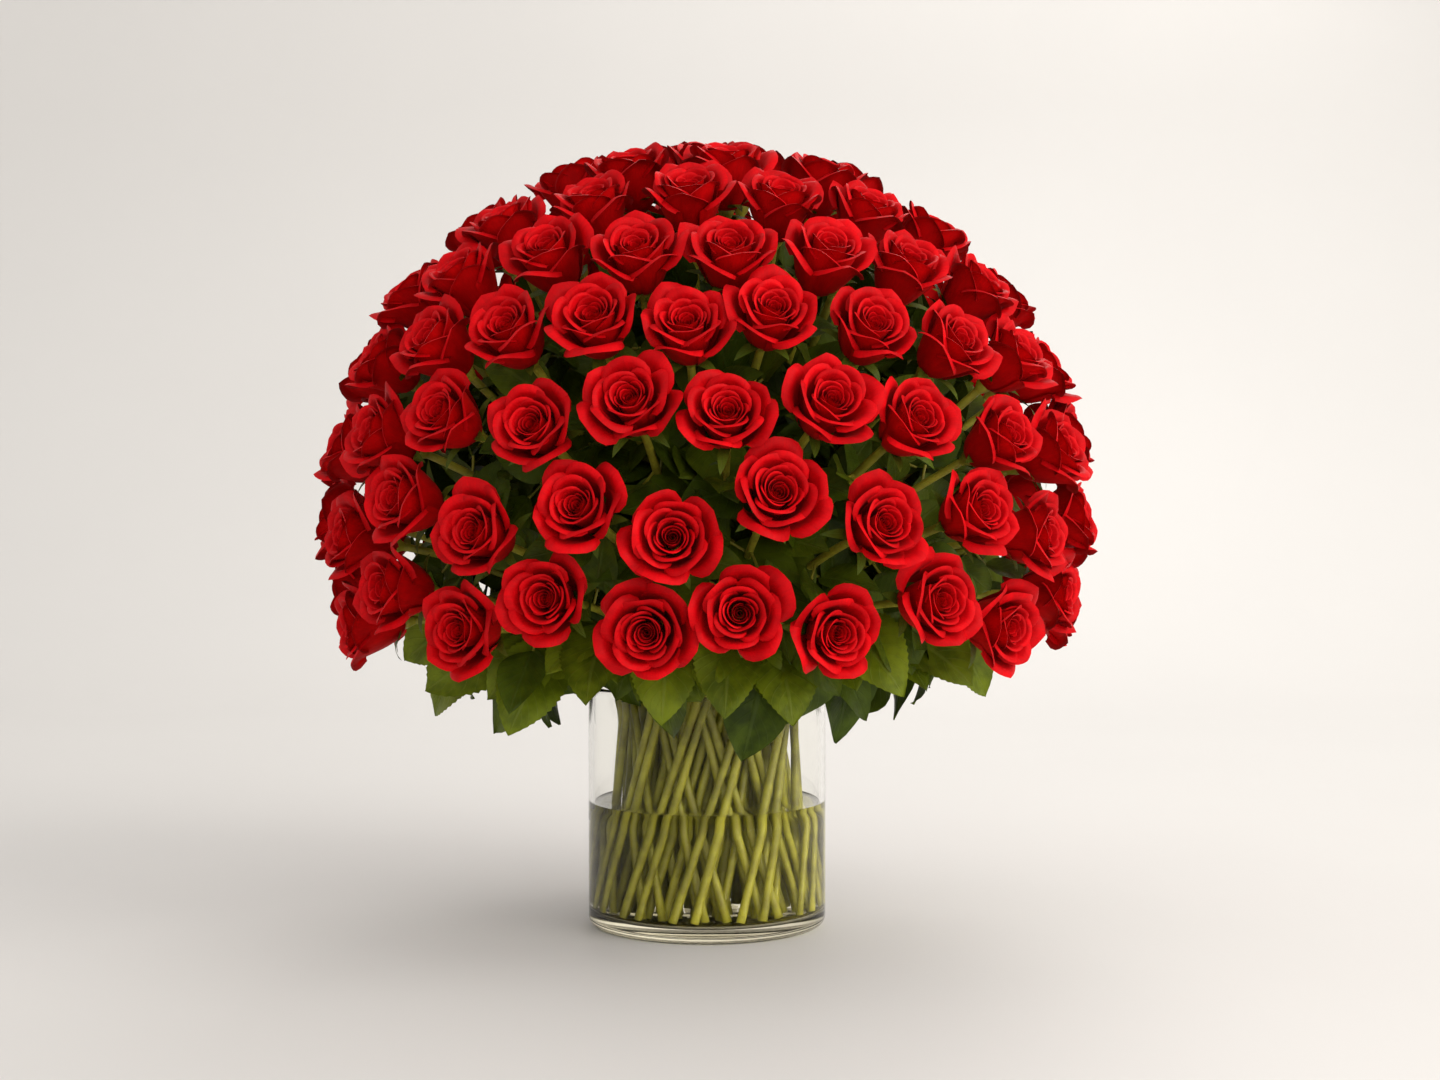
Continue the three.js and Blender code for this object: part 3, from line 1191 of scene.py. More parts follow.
class Tree:
    """Adds and links nodes in one node tree."""

    def __init__(self, tree: bpy.types.NodeTree) -> None:
        """Takes the tree to work on."""
        self.tree = tree

    def add(self, kind: str, **values: object) -> bpy.types.Node:
        """Adds a node.

        Args:
            kind: The node's type.
            **values: Its properties, or its inputs by name with spaces as underscores.

        Returns:
            The new node.
        """
        node = self.tree.nodes.new(kind)
        for key, value in values.items():
            if hasattr(node, key):
                setattr(node, key, value)
        for key, value in values.items():
            if not hasattr(node, key):
                self.put(node.inputs[key.replace("_", " ")], value)
        return node

    def put(self, socket: bpy.types.NodeSocket, value: object) -> None:
        """Links a socket to an output, or sets its value.

        Args:
            socket: The input.
            value: An output socket, or a number or colour.
        """
        if isinstance(value, bpy.types.NodeSocket):
            self.tree.links.new(value, socket)
        else:
            socket.default_value = value

    def attribute(self, name: str, output: str = "Fac") -> bpy.types.NodeSocket:
        """An attribute of the mesh."""
        return self.add("ShaderNodeAttribute", attribute_name=name).outputs[output]

    def math(self, operation: str, a: object, b: object = 0.0) -> bpy.types.NodeSocket:
        """The result of one sum.

        Args:
            operation: Blender's name for it.
            a: The first value.
            b: The second value.

        Returns:
            The output socket.
        """
        node = self.add("ShaderNodeMath", operation=operation)
        self.put(node.inputs[0], a)
        self.put(node.inputs[1], b)
        return node.outputs[0]

    def span(
        self,
        value: object,
        low: float,
        high: float,
        to_low: float = 0.0,
        to_high: float = 1.0,
    ) -> bpy.types.NodeSocket:
        """Maps a value smoothly from one range to another.

        Args:
            value: The value.
            low: Where the range begins.
            high: Where it ends.
            to_low: The result at the beginning.
            to_high: The result at the end.

        Returns:
            The output socket.
        """
        node = self.add("ShaderNodeMapRange", interpolation_type="SMOOTHSTEP")
        ranges = {"From Min": low, "From Max": high, "To Min": to_low, "To Max": to_high}
        self.put(node.inputs["Value"], value)
        for key, number in ranges.items():
            self.put(node.inputs[key], number)
        return node.outputs["Result"]

    def mix(self, factor: object, a: object, b: object, blend: str = "MIX") -> bpy.types.NodeSocket:
        """Mixes two colours.

        Args:
            factor: The share of the second.
            a: The first colour.
            b: The second colour.
            blend: How they mix.

        Returns:
            The output socket.
        """
        node = self.add("ShaderNodeMix", data_type="RGBA", blend_type=blend)
        self.put(node.inputs[0], factor)
        self.put(node.inputs[6], a)
        self.put(node.inputs[7], b)
        return node.outputs[2]

    def noise(
        self,
        vector: object,
        scale: object,
        detail: float,
        rough: float,
    ) -> bpy.types.NodeSocket:
        """A noise from 0 to 1.

        Args:
            vector: Where it is read.
            scale: How many features there are to a metre.
            detail: How many finer layers it has.
            rough: How strong the finer layers are.

        Returns:
            The output socket.
        """
        node = self.add("ShaderNodeTexNoise", Vector=vector, Scale=scale, Detail=detail, Roughness=rough)
        return node.outputs["Fac"]

    def relief(
        self,
        shader: bpy.types.Node,
        height: bpy.types.NodeSocket,
        strength: float,
        depth: float,
    ) -> None:
        """Raises a shader's surface by a height.

        Args:
            shader: The shader.
            height: The height, from 0 to 1.
            strength: How strong it shows.
            depth: How deep it is, in metres.
        """
        bump = self.add("ShaderNodeBump", Strength=strength, Distance=depth, Height=height)
        self.put(shader.inputs["Normal"], bump.outputs[0])


def new_group(
    name: str,
    inputs: dict[str, object],
    outputs: dict[str, str],
) -> tuple[bpy.types.NodeTree, Tree, dict[str, bpy.types.NodeSocket], bpy.types.Node]:
    """Starts a shader node group.

    Args:
        name: The group's name.
        inputs: Each input's name and starting value, a number or a colour.
        outputs: Each output's name and socket type.

    Returns:
        The group, its tree, its inputs by name and its output node.
    """
    group = bpy.data.node_groups.new(name, "ShaderNodeTree")
    for key, value in inputs.items():
        kind = "NodeSocketColor" if isinstance(value, tuple) else "NodeSocketFloat"
        socket = group.interface.new_socket(key, in_out="INPUT", socket_type=kind)
        socket.default_value = value
    for key, kind in outputs.items():
        group.interface.new_socket(key, in_out="OUTPUT", socket_type=kind)
    tree = Tree(group)
    entry = group.nodes.new("NodeGroupInput")
    leave = group.nodes.new("NodeGroupOutput")
    return group, tree, {s.name: s for s in entry.outputs}, leave


def petal_group() -> bpy.types.NodeTree:
    """A velvety petal with fine veins: a painted shade darkens it down to the root and most in the heart,
    and a painted sheen lightens its rolled edge.

    Returns:
        The node group.
    """
    group, tree, given, leave = new_group(
        "petal_velvet",
        {
            "Root shade": (0.12, 0.0, 0.002, 1.0),
            "Body": (0.5, 0.003, 0.006, 1.0),
            "Lip sheen": (0.75, 0.03, 0.05, 1.0),
            "Back": (0.3, 0.003, 0.01, 1.0),
            "Vein scale": 900.0,
        },
        {
            "Face": "NodeSocketColor",
            "Back": "NodeSocketColor",
            "Roughness": "NodeSocketFloat",
            "Height": "NodeSocketFloat",
        },
    )
    along = tree.attribute("along")
    across = tree.attribute("across")
    age = tree.attribute("age")
    chance = tree.attribute("chance")
    cloth = tree.attribute("cloth", "Vector")
    stretch = tree.add("ShaderNodeVectorMath", operation="MULTIPLY")
    tree.put(stretch.inputs[0], cloth)
    stretch.inputs[1].default_value = (1.0, 0.16, 1.0)
    veins = tree.noise(stretch.outputs[0], given["Vein scale"], 3.0, 0.6)
    blotch = tree.noise(cloth, 90.0, 3.0, 0.55)

    # Painted shade: the petals darken from the top down to the root, and the petals of the heart most, for
    # the shade deep inside the head; lit is the share that they are spared.
    depth = tree.span(along, 0.25, 0.92)
    clear_of_heart_shade = tree.span(age, 0.0, 0.5, 0.5, 1.0)
    lit = tree.math("MULTIPLY", depth, clear_of_heart_shade)
    face = tree.mix(lit, given["Root shade"], given["Body"])
    uneven = tree.span(blotch, 0.3, 0.7, 0.82, 1.12)
    streak = tree.span(veins, 0.3, 0.7, 0.93, 1.06)
    person = tree.span(chance, 0.0, 1.0, 0.9, 1.08)
    tone = tree.math("MULTIPLY", tree.math("MULTIPLY", uneven, streak), person)
    grey = tree.add("ShaderNodeCombineColor")
    for key in ("Red", "Green", "Blue"):
        tree.put(grey.inputs[key], tone)
    face = tree.mix(1.0, face, grey.outputs[0], "MULTIPLY")
    # Painted sheen: a paler pink along the rolled edge, where the velvet lip catches the light.
    rim = tree.span(along, 0.93, 1.0)
    lip_sheen_share = tree.math("MULTIPLY", rim, 0.45)
    face = tree.mix(lip_sheen_share, face, given["Lip sheen"])
    # The backs get the same painted shade towards the root.
    back = tree.mix(tree.span(along, 0.2, 0.95), given["Root shade"], given["Back"])
    back = tree.mix(1.0, back, grey.outputs[0], "MULTIPLY")
    edge = tree.span(tree.math("ABSOLUTE", across), 0.8, 1.0, 0.0, 0.35)
    back = tree.mix(edge, back, given["Body"])
    tree.put(leave.inputs["Face"], face)
    tree.put(leave.inputs["Back"], back)
    tree.put(leave.inputs["Roughness"], tree.span(veins, 0.2, 0.8, 0.5, 0.64))
    height = tree.math("ADD", tree.math("MULTIPLY", veins, 0.6), tree.math("MULTIPLY", blotch, 0.8))
    tree.put(leave.inputs["Height"], height)
    return group


def green_group() -> bpy.types.NodeTree:
    """Living green tissue with mottling, for stems and leaves.

    Returns:
        The node group.
    """
    group, tree, given, leave = new_group(
        "green_tissue",
        {
            "Dark": (0.02, 0.05, 0.008, 1.0),
            "Light": (0.12, 0.18, 0.02, 1.0),
            "Stain": (0.16, 0.08, 0.02, 1.0),
            "Stain share": 0.2,
            "Scale": 60.0,
        },
        {"Color": "NodeSocketColor", "Roughness": "NodeSocketFloat", "Height": "NodeSocketFloat"},
    )
    cloth = tree.attribute("cloth", "Vector")
    chance = tree.attribute("chance")
    broad = tree.noise(cloth, given["Scale"], 3.0, 0.6)
    fine = tree.noise(cloth, 700.0, 2.0, 0.6)
    blend = tree.span(broad, 0.32, 0.68)
    blend = tree.math("ADD", tree.math("MULTIPLY", blend, 0.65), tree.math("MULTIPLY", chance, 0.35))
    colour = tree.mix(blend, given["Dark"], given["Light"])
    spots = tree.span(fine, 0.52, 0.72)
    colour = tree.mix(tree.math("MULTIPLY", spots, given["Stain share"]), colour, given["Stain"])
    tree.put(leave.inputs["Color"], colour)
    tree.put(leave.inputs["Roughness"], tree.span(fine, 0.2, 0.8, 0.36, 0.56))
    tree.put(leave.inputs["Height"], fine)
    return group


def new_material(name: str) -> tuple[bpy.types.Material, Tree, bpy.types.Node, bpy.types.Node]:
    """Starts a material with one Principled shader.

    Args:
        name: The material's name.

    Returns:
        The material, its tree, the shader and the output node.
    """
    material = bpy.data.materials.new(name)
    material.use_nodes = True
    nodes = material.node_tree.nodes
    nodes.clear()
    tree = Tree(material.node_tree)
    shader = tree.add("ShaderNodeBsdfPrincipled")
    output = tree.add("ShaderNodeOutputMaterial")
    material.node_tree.links.new(shader.outputs[0], output.inputs["Surface"])
    return material, tree, shader, output


@dataclass(frozen=True)
class PetalFinish:
    """Red velvet petals, with a painted shade towards the roots and in the heart, and a painted sheen along
    the rolled edges.

    Attributes:
        deep: Their colour at the root and in the heart, a painted shade for the shade deep inside the head.
        body: Their colour on the upper half.
        lip: Their colour along the rolled edge, a painted sheen where the velvet lip catches the light.
        back: Their colour behind.
        sheen: How strong their velvet is.
        sheen_tint: Its colour.
        sheen_roughness: How far it spreads.
        gloss: How strong their highlights are.
        relief: How strong the veins stand out.
        relief_depth: How deep they are, in metres.
    """

    deep: RGBA = (0.5, 0.0, 0.001, 1.0)
    body: RGBA = (0.52, 0.001, 0.002, 1.0)
    lip: RGBA = (0.52, 0.05, 0.055, 1.0)
    back: RGBA = (0.56, 0.001, 0.004, 1.0)
    sheen: float = 0.04
    sheen_tint: RGBA = (1.0, 0.2, 0.2, 1.0)
    sheen_roughness: float = 0.4
    gloss: float = 0.08
    relief: float = 0.25
    relief_depth: float = 0.0006

    def material(self) -> bpy.types.Material:
        """Builds the material.

        Returns:
            The material.
        """
        material, tree, shader, _ = new_material("petal")
        velvet = tree.add("ShaderNodeGroup", node_tree=petal_group())
        colours = {"Root shade": self.deep, "Body": self.body, "Lip sheen": self.lip, "Back": self.back}
        for key, colour in colours.items():
            velvet.inputs[key].default_value = colour
        behind = tree.add("ShaderNodeNewGeometry").outputs["Backfacing"]
        colour = tree.mix(behind, velvet.outputs["Face"], velvet.outputs["Back"])
        tree.put(shader.inputs["Base Color"], colour)
        tree.put(shader.inputs["Roughness"], velvet.outputs["Roughness"])
        tree.relief(shader, velvet.outputs["Height"], self.relief, self.relief_depth)
        shader.inputs["Sheen Weight"].default_value = self.sheen
        shader.inputs["Sheen Tint"].default_value = self.sheen_tint
        shader.inputs["Sheen Roughness"].default_value = self.sheen_roughness
        shader.inputs["Specular IOR Level"].default_value = self.gloss
        return material


@dataclass(frozen=True)
class StemFinish:
    """Smooth olive-green stems, pale at the cut foot.

    Attributes:
        dark: Their darkest green.
        light: Their lightest green.
        stain: The colour of their spots.
        cut: The colour of the cut end.
        stain_share: How strong the spots are.
        cut_share: How strong the cut end's colour is.
        scale: How many blotches there are to a metre.
        relief: How strong the skin's grain stands out.
        relief_depth: How deep it is, in metres.
    """

    dark: RGBA = (0.145, 0.135, 0.007, 1.0)
    light: RGBA = (0.47, 0.44, 0.035, 1.0)
    stain: RGBA = (0.19, 0.12, 0.02, 1.0)
    cut: RGBA = (0.5, 0.48, 0.2, 1.0)
    stain_share: float = 0.35
    cut_share: float = 0.8
    scale: float = 45.0
    relief: float = 0.2
    relief_depth: float = 0.0003

    def material(self, tissue: bpy.types.NodeTree) -> bpy.types.Material:
        """Builds the material.

        Args:
            tissue: The green tissue group.

        Returns:
            The material.
        """
        material, tree, shader, _ = new_material("stem")
        green = tree.add("ShaderNodeGroup", node_tree=tissue)
        for key, colour in (("Dark", self.dark), ("Light", self.light), ("Stain", self.stain)):
            green.inputs[key].default_value = colour
        green.inputs["Stain share"].default_value = self.stain_share
        green.inputs["Scale"].default_value = self.scale
        cut = tree.math("MULTIPLY", tree.attribute("age"), self.cut_share)
        colour = tree.mix(cut, green.outputs["Color"], self.cut)
        tree.put(shader.inputs["Base Color"], colour)
        tree.put(shader.inputs["Roughness"], green.outputs["Roughness"])
        tree.relief(shader, green.outputs["Height"], self.relief, self.relief_depth)
        return material


@dataclass(frozen=True)
class LeafFinish:
    """Dark green leaves with a paler midrib and veins, dull underneath, and darkened by a painted shade
    among the heads.

    Attributes:
        dark: Their darkest green.
        light: Their lightest green.
        stain: The colour of their spots.
        rib: The colour of the midrib and the veins.
        under: The colour underneath.
        gap_shade: What a leaf keeps of its colour under the full painted shade, for the shade among the
            heads.
        rib_share: How strong the veins' colour is.
        under_share: How strong the colour underneath is.
        veins: How many pairs of side veins there are.
        slant: How far they run to the tip on their way to the edge, in pairs.
        grain: How strong the grain between the veins stands out, as a share of them.
        gloss: How strong the highlights are.
        relief: How strong the veins stand out.
        relief_depth: How deep they are, in metres.
    """

    dark: RGBA = (0.052, 0.078, 0.001, 1.0)
    light: RGBA = (0.17, 0.22, 0.007, 1.0)
    stain: RGBA = (0.11, 0.11, 0.008, 1.0)
    rib: RGBA = (0.17, 0.21, 0.03, 1.0)
    under: RGBA = (0.09, 0.13, 0.015, 1.0)
    gap_shade: RGBA = (0.34, 0.42, 0.5, 1.0)
    rib_share: float = 0.35
    under_share: float = 0.6
    veins: float = 9.0
    slant: float = 2.6
    grain: float = 0.2
    gloss: float = 0.14
    relief: float = 0.5
    relief_depth: float = 0.0005

    def material(self, tissue: bpy.types.NodeTree) -> bpy.types.Material:
        """Builds the material.

        Args:
            tissue: The green tissue group.

        Returns:
            The material.
        """
        material, tree, shader, _ = new_material("leaf")
        green = tree.add("ShaderNodeGroup", node_tree=tissue)
        for key, colour in (("Dark", self.dark), ("Light", self.light), ("Stain", self.stain)):
            green.inputs[key].default_value = colour
        along, across = tree.attribute("along"), tree.attribute("across")
        spread = tree.math("ABSOLUTE", across)
        rib = tree.span(spread, 0.02, 0.09, 1.0, 0.0)
        pairs = tree.math("MULTIPLY", along, self.veins)
        slant = tree.math("SUBTRACT", pairs, tree.math("MULTIPLY", spread, self.slant))
        saw = tree.math("ABSOLUTE", tree.math("SUBTRACT", tree.math("FRACT", slant), 0.5))
        vein = tree.span(saw, 0.0, 0.09, 0.55, 0.0)
        lines = tree.math("MAXIMUM", rib, vein)
        share = tree.math("MULTIPLY", lines, self.rib_share)
        colour = tree.mix(share, green.outputs["Color"], self.rib)
        behind = tree.add("ShaderNodeNewGeometry").outputs["Backfacing"]
        dull = tree.mix(self.under_share, colour, self.under)
        colour = tree.mix(behind, colour, dull)
        # Painted shade: each leaf is darkened by its own share of it, for the shade among the heads; collar
        # leaves get none.
        unshaded_share = tree.attribute("age")
        gap_shade = tree.mix(1.0, colour, self.gap_shade, "MULTIPLY")
        colour = tree.mix(unshaded_share, gap_shade, colour)
        tree.put(shader.inputs["Base Color"], colour)
        tree.put(shader.inputs["Roughness"], green.outputs["Roughness"])
        grain = tree.math("MULTIPLY", green.outputs["Height"], self.grain)
        tree.relief(shader, tree.math("ADD", grain, lines), self.relief, self.relief_depth)
        shader.inputs["Specular IOR Level"].default_value = self.gloss
        return material


@dataclass(frozen=True)
class ClearFinish:
    """A clear solid that lets the lamps' light through.

    Attributes:
        name: The material's name.
        tint: Its colour.
        smudge: Its colour where it is smudged.
        bottom: Its colour near the floor, where it is thick.
        ior: Its index of refraction.
        shade: What its shadow keeps of the light.
        gleam: What its reflections keep of the light.
        haze_scale: How many smudges there are to a metre.
        bottom_band: Between which heights the bottom's colour fades out, in metres.
        roughest: How rough a smudge is.
    """

    name: str
    tint: RGBA
    smudge: RGBA
    bottom: RGBA
    ior: float
    shade: RGBA
    gleam: RGBA = (0.12, 0.12, 0.11, 1.0)
    haze_scale: float = 35.0
    bottom_band: tuple[float, float] = (0.008, 0.016)
    roughest: float = 0.035

    def material(self) -> bpy.types.Material:
        """Builds the material.

        Returns:
            The material.
        """
        material, tree, shader, output = new_material(self.name)
        where = tree.add("ShaderNodeTexCoord").outputs["Object"]
        haze = tree.noise(where, self.haze_scale, 4.0, 0.6)
        colour = tree.mix(tree.span(haze, 0.45, 0.75, 0.0, 0.5), self.tint, self.smudge)
        axes = tree.add("ShaderNodeSeparateXYZ")
        tree.put(axes.inputs[0], where)
        thick = tree.span(axes.outputs["Z"], *self.bottom_band, 1.0, 0.0)
        colour = tree.mix(thick, colour, self.bottom)
        tree.put(shader.inputs["Base Color"], colour)
        tree.put(shader.inputs["Roughness"], tree.span(haze, 0.5, 0.8, 0.0, self.roughest))
        shader.inputs["Metallic"].default_value = 0.0
        shader.inputs["Transmission Weight"].default_value = 1.0
        shader.inputs["IOR"].default_value = self.ior
        shader.inputs["Specular Tint"].default_value = self.gleam
        path = tree.add("ShaderNodeLightPath")
        clear = tree.add("ShaderNodeBsdfTransparent")
        clear.inputs[0].default_value = self.shade
        both = tree.add("ShaderNodeMixShader")
        tree.put(both.inputs[0], path.outputs["Is Shadow Ray"])
        tree.put(both.inputs[1], shader.outputs[0])
        tree.put(both.inputs[2], clear.outputs[0])
        tree.put(output.inputs["Surface"], both.outputs[0])
        return material


# ---------------------------------------------------------------------------------------------
# The vase and its water
# ---------------------------------------------------------------------------------------------


def lathe(
    name: str,
    outline: list[tuple[float, float]],
    sides: int,
    material: bpy.types.Material,
) -> bpy.types.Object:
    """Turns an outline about the Z axis into a smooth closed mesh.

    Args:
        name: The piece's name.
        outline: Radius and height of each point, from the axis back to the axis.
        sides: How many faces go round.
        material: The piece's material.

    Returns:
        The new object.
    """
    turns = np.linspace(0, 2 * math.pi, sides, endpoint=False)
    inner = outline[1:-1]
    vertices = [(0.0, 0.0, outline[0][1])]
    for radius, height in inner:
        vertices += [(radius * math.cos(a), radius * math.sin(a), height) for a in turns]
    vertices.append((0.0, 0.0, outline[-1][1]))
    faces: list[tuple[int, ...]] = []
    for k in range(sides):
        n = (k + 1) % sides
        faces.append((0, 1 + n, 1 + k))
        for i in range(len(inner) - 1):
            a, b = 1 + i * sides, 1 + (i + 1) * sides
            faces.append((a + k, a + n, b + n, b + k))
        a = 1 + (len(inner) - 1) * sides
        faces.append((a + k, a + n, len(vertices) - 1))
    mesh = bpy.data.meshes.new(name)
    mesh.from_pydata(vertices, [], faces)
    mesh.polygons.foreach_set("use_smooth", np.ones(len(faces), dtype=bool))
    mesh.materials.append(material)
    mesh.update()
    made = bpy.data.objects.new(name, mesh)
    bpy.context.scene.collection.objects.link(made)
    return made


def arc(
    centre: tuple[float, float],
    radius: float,
    start: float,
    stop: float,
    steps: int,
) -> list[tuple[float, float]]:
    """Points on an arc in the outline's plane.

    Args:
        centre: The arc's centre.
        radius: Its radius.
        start: Its first angle, in degrees from the outward direction.
        stop: Its last angle.
        steps: How many steps it has.

    Returns:
        The points.
    """
    angles = np.radians(np.linspace(start, stop, steps + 1))
    return [(centre[0] + radius * math.cos(a), centre[1] + radius * math.sin(a)) for a in angles]


@dataclass
class Vase:
    """The glass cylinder. Its height and width come from the frame.

    Attributes:
        wall: Thickness of its wall.
        base: Thickness of its base.
        heel: Radius of its lower outer edge.
        fillet: Radius of the inner edge where the wall meets the base.
        punt: How far the middle of its underside stands off the floor.
        tread: Width of the foot ring that it stands on.
        tread_slope: Width of the slope from the foot ring up to the middle.
        sag: How far the inner floor sags in its middle.
        low_ring: Height of the wall's lowest ring of points.
        top_ring: How far its highest ring is below the rim's rounding.
        wall_rings: How many rings of points the wall has.
        sides: Faces round it.
    """

    wall: float = 0.0035
    base: float = 0.010
    heel: float = 0.006
    fillet: float = 0.004
    punt: float = 0.0012
    tread: float = 0.009
    tread_slope: float = 0.003
    sag: float = 0.0008
    low_ring: float = 0.03
    top_ring: float = 0.004
    wall_rings: int = 5
    sides: int = 128

    def build(self, material: bpy.types.Material) -> bpy.types.Object:
        """Builds the vase.

        Args:
            material: Its glass.

        Returns:
            The piece.
        """
        low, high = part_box("glass_vase")
        radius, height = (high.x - low.x) / 2, high.z
        inner = radius - self.wall
        lip = self.wall / 2
        foot = radius - self.heel - self.tread
        rings = np.linspace(self.low_ring, height - lip - self.top_ring, self.wall_rings)
        outline: list[tuple[float, float]] = [(0.0, self.punt), (foot - self.tread_slope, self.punt)]
        outline += [(foot, 0.0)]
        outline += arc((radius - self.heel, self.heel), self.heel, -90, 0, 8)
        outline += [(radius, h) for h in rings]
        outline += arc((radius - lip, height - lip), lip, 0, 180, 8)
        outline += [(inner, h) for h in rings[::-1]]
        outline += arc((inner - self.fillet, self.base + self.fillet), self.fillet, 0, -90, 6)
        outline += [(inner / 2, self.base - self.sag / 2), (0.0, self.base - self.sag)]
        return lathe("vase_glass", outline, self.sides, material)


@dataclass
class Water:
    """The water in the vase. It meets the glass, and climbs it a little at the surface.

    Attributes:
        into_glass: How far it reaches into the wall.
        under: How much further it reaches into the base.
        climb: How far it climbs the glass at the surface.
        meniscus: Points of the climb, as the way in from the glass and the share of the climb there.
        sides: Faces round it.
    """

    into_glass: float = 0.0002
    under: float = 0.0006
    climb: float = 0.0008
    meniscus: tuple[tuple[float, float], ...] = ((0.0006, 0.45), (0.0018, 0.1), (0.004, 0.0))
    sides: int = 128

    def build(self, vase: Vase, material: bpy.types.Material) -> bpy.types.Object:
        """Builds the water.

        Args:
            vase: The vase that holds it.
            material: Its material.

        Returns:
            The piece.
        """
        low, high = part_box("glass_vase")
        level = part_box("water")[1].z
        inner = (high.x - low.x) / 2 - vase.wall + self.into_glass
        floor = vase.base - self.into_glass - self.under
        fillet = vase.fillet
        rings = np.linspace(vase.low_ring, level + self.climb, vase.wall_rings)
        outline: list[tuple[float, float]] = [(0.0, floor), (inner / 2, floor)]
        outline += arc((inner - fillet, floor + fillet), fillet, -90, 0, 6)
        outline += [(inner, h) for h in rings]
        outline += [(inner - way, level + self.climb * share) for way, share in self.meniscus]
        outline += [(inner / 2, level), (0.0, level)]
        return lathe("vase_water", outline, self.sides, material)


# ---------------------------------------------------------------------------------------------
# The studio
# ---------------------------------------------------------------------------------------------


@dataclass(frozen=True)
class Lamp:
    """A square soft lamp that faces the bouquet.

    Attributes:
        name: Its name.
        place: Where it hangs, in metres.
        width: Its width, in metres.
        power: Its power, in watts.
        colour: The colour of its light.
    """

    name: str
    place: tuple[float, float, float]
    width: float
    power: float
    colour: tuple[float, float, float]


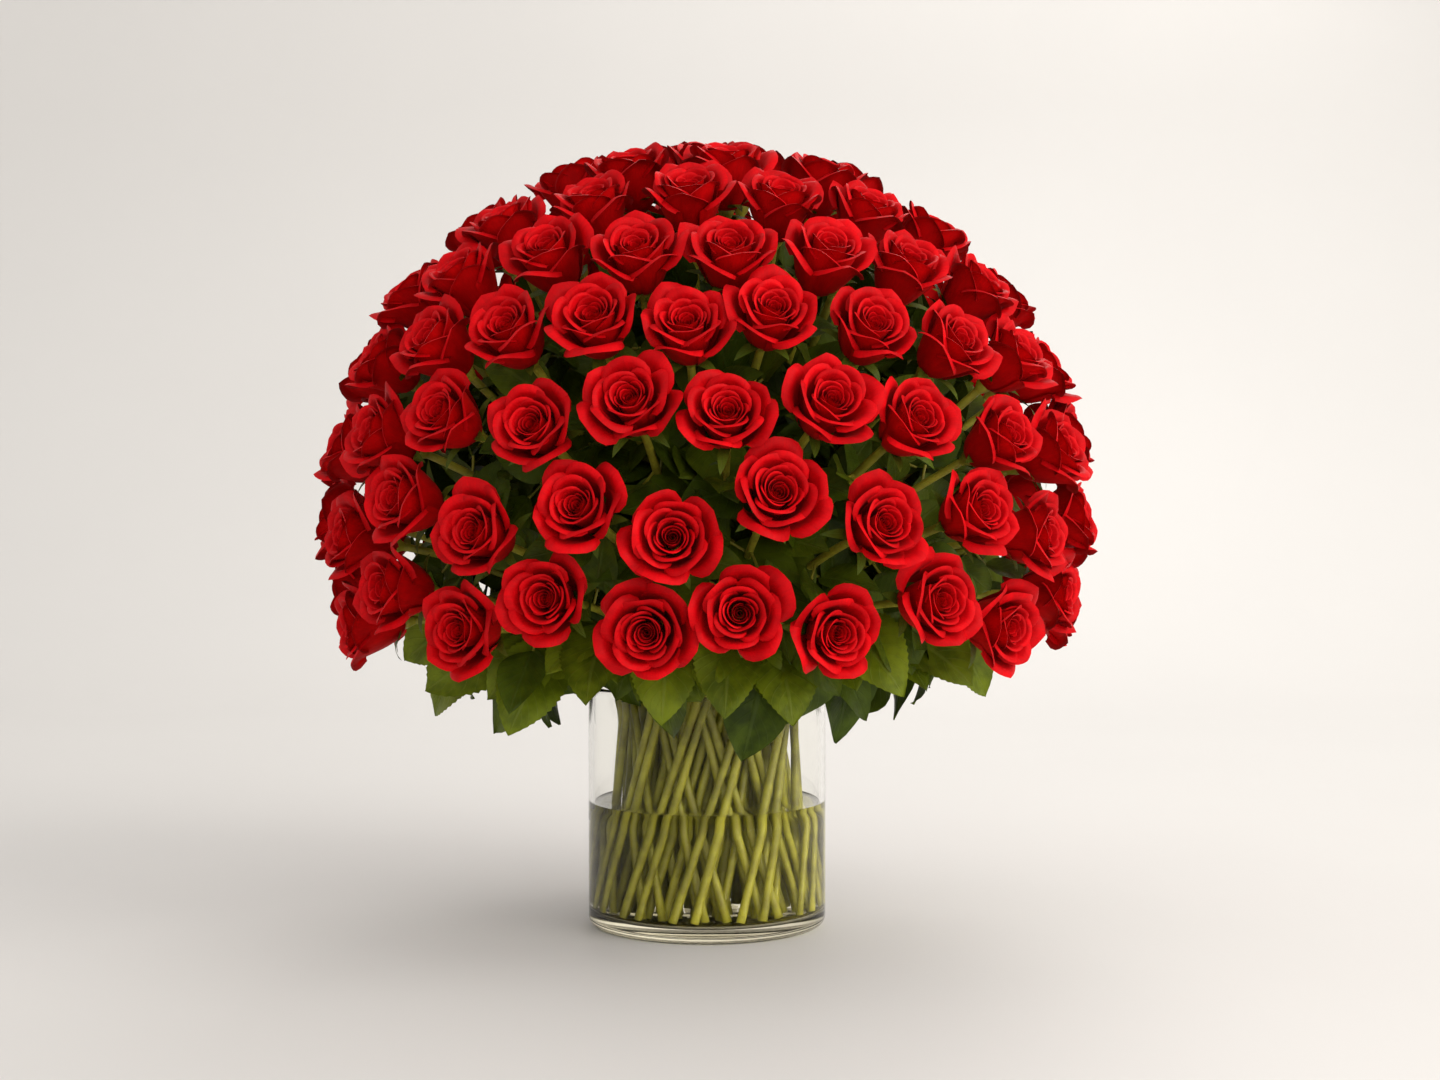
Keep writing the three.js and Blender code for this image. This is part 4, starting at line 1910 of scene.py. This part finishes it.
@dataclass
class Studio:
    """Floor, backdrop, lamps and camera. Lengths are in metres.

    Attributes:
        floor_colour: Colour of the paper floor.
        cloud_tone: How much darker its clouds are, as a share of its colour.
        reach: How far it reaches to each side and to the front.
        back: Where it begins to curve up.
        curve: Radius of the curve.
        top: Height of the backdrop.
        curve_steps: Points of the curve.
        sky: Colour of the light from all round.
        sky_strength: Its strength.
        aim: Height of the point that the lamps face.
        lamps: The lamps.
        camera_place: Where the camera stands.
        lens: Its focal length, in millimetres.
        sensor: Width of its sensor, in millimetres.
        pitch: How far it looks down from level, in degrees. Less than 0 is down.
    """

    floor_colour: RGBA = (0.72, 0.71, 0.7, 1.0)
    cloud_tone: float = 0.96
    reach: float = 9.0
    back: float = 1.2
    curve: float = 0.8
    top: float = 3.2
    curve_steps: int = 14
    sky: RGBA = (1.0, 0.97, 0.93, 1.0)
    sky_strength: float = 0.78
    aim: float = 0.27
    lamps: tuple[Lamp, ...] = (
        Lamp("lamp_key", (2.1, -1.25, 1.5), 2.0, 50.0, (1.0, 0.96, 0.9)),
        Lamp("lamp_front", (0.7, -2.5, 0.7), 1.8, 17.0, (1.0, 0.97, 0.92)),
        Lamp("lamp_back", (0.4, 1.7, 1.6), 1.2, 14.0, (1.0, 0.97, 0.93)),
    )
    camera_place: tuple[float, float, float] = (0.0082, -1.5, 0.3)
    lens: float = 59.5
    sensor: float = 36.0
    pitch: float = -2.19

    def build(self) -> None:
        """Builds the whole setting."""
        self.floor()
        self.world()
        for lamp in self.lamps:
            self.hang(lamp)
        self.camera()

    def floor(self) -> None:
        """Builds a floor that curves up into a backdrop."""
        material, tree, shader, _ = new_material("floor_paper")
        where = tree.add("ShaderNodeTexCoord").outputs["Object"]
        cloud = tree.noise(where, 3.0, 3.0, 0.5)
        dark = tuple(c * self.cloud_tone for c in self.floor_colour[:3]) + (1.0,)
        tree.put(shader.inputs["Base Color"], tree.mix(cloud, self.floor_colour, dark))
        shader.inputs["Roughness"].default_value = 0.6
        outline = [(-self.reach, 0.0), (self.back, 0.0)]
        for angle in np.linspace(0.1, math.pi / 2, self.curve_steps):
            across = self.back + self.curve * math.sin(angle)
            outline += [(across, self.curve - self.curve * math.cos(angle))]
        outline += [(self.back + self.curve, self.top)]
        vertices = [(x, y, z) for y, z in outline for x in (-self.reach, self.reach)]
        faces = [(2 * k, 2 * k + 1, 2 * k + 3, 2 * k + 2) for k in range(len(outline) - 1)]
        mesh = bpy.data.meshes.new("floor")
        mesh.from_pydata(vertices, [], faces)
        mesh.polygons.foreach_set("use_smooth", np.ones(len(faces), dtype=bool))
        mesh.materials.append(material)
        floor = bpy.data.objects.new("floor", mesh)
        bpy.context.scene.collection.objects.link(floor)

    def world(self) -> None:
        """Sets the soft light that comes from all round."""
        world = bpy.data.worlds.new("studio_world")
        world.use_nodes = True
        background = world.node_tree.nodes["Background"]
        background.inputs["Color"].default_value = self.sky
        background.inputs["Strength"].default_value = self.sky_strength
        bpy.context.scene.world = world

    def hang(self, lamp: Lamp) -> None:
        """Hangs one lamp.

        Args:
            lamp: The lamp.
        """
        data = bpy.data.lights.new(lamp.name, "AREA")
        data.size = lamp.width
        data.energy = lamp.power
        data.color = lamp.colour
        hung = bpy.data.objects.new(lamp.name, data)
        hung.location = lamp.place
        facing = Vector((0, 0, self.aim)) - Vector(lamp.place)
        hung.rotation_euler = facing.to_track_quat("-Z", "Y").to_euler()
        bpy.context.scene.collection.objects.link(hung)

    def camera(self) -> None:
        """Places the camera."""
        data = bpy.data.cameras.new("camera")
        data.sensor_width = self.sensor
        data.lens = self.lens
        camera = bpy.data.objects.new("camera", data)
        camera.location = self.camera_place
        camera.rotation_euler = (radians(90 + self.pitch), 0, 0)
        bpy.context.scene.collection.objects.link(camera)
        bpy.context.scene.camera = camera
        bpy.context.scene.view_settings.view_transform = "Standard"


# ---------------------------------------------------------------------------------------------
# Assembly
# ---------------------------------------------------------------------------------------------


def main() -> None:
    """Builds the object piece by piece and reports each one."""
    logging.basicConfig(level=logging.INFO, format="%(name)s: %(message)s")
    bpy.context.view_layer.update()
    Studio().build()

    tissue = green_group()
    materials = [PetalFinish().material(), StemFinish().material(tissue), LeafFinish().material(tissue)]
    rose = Rose()
    for stand in Bouquet().stands():
        piece = rose.grow(stand, materials)
        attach(piece, ROOT)
        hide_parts(stand.node)
        LOG.info("%s: for %s", piece.name, stand.node)

    vase = Vase()
    glass = ClearFinish(
        name="glass",
        tint=(0.985, 0.985, 0.965, 1.0),
        smudge=(0.95, 0.955, 0.92, 1.0),
        bottom=(0.92, 0.87, 0.68, 1.0),
        ior=1.5,
        shade=(0.94, 0.94, 0.91, 1.0),
    )
    vase_piece = vase.build(glass.material())
    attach(vase_piece, ROOT)
    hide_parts("glass_vase")
    LOG.info("%s: for glass_vase", vase_piece.name)

    water = ClearFinish(
        name="water",
        tint=(0.98, 0.97, 0.9, 1.0),
        smudge=(0.97, 0.955, 0.87, 1.0),
        bottom=(0.97, 0.95, 0.86, 1.0),
        ior=1.333,
        shade=(0.98, 0.97, 0.93, 1.0),
    )
    water_piece = Water().build(vase, water.material())
    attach(water_piece, ROOT)
    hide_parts("water")
    LOG.info("%s: for water", water_piece.name)


if __name__ == "__main__":
    main()
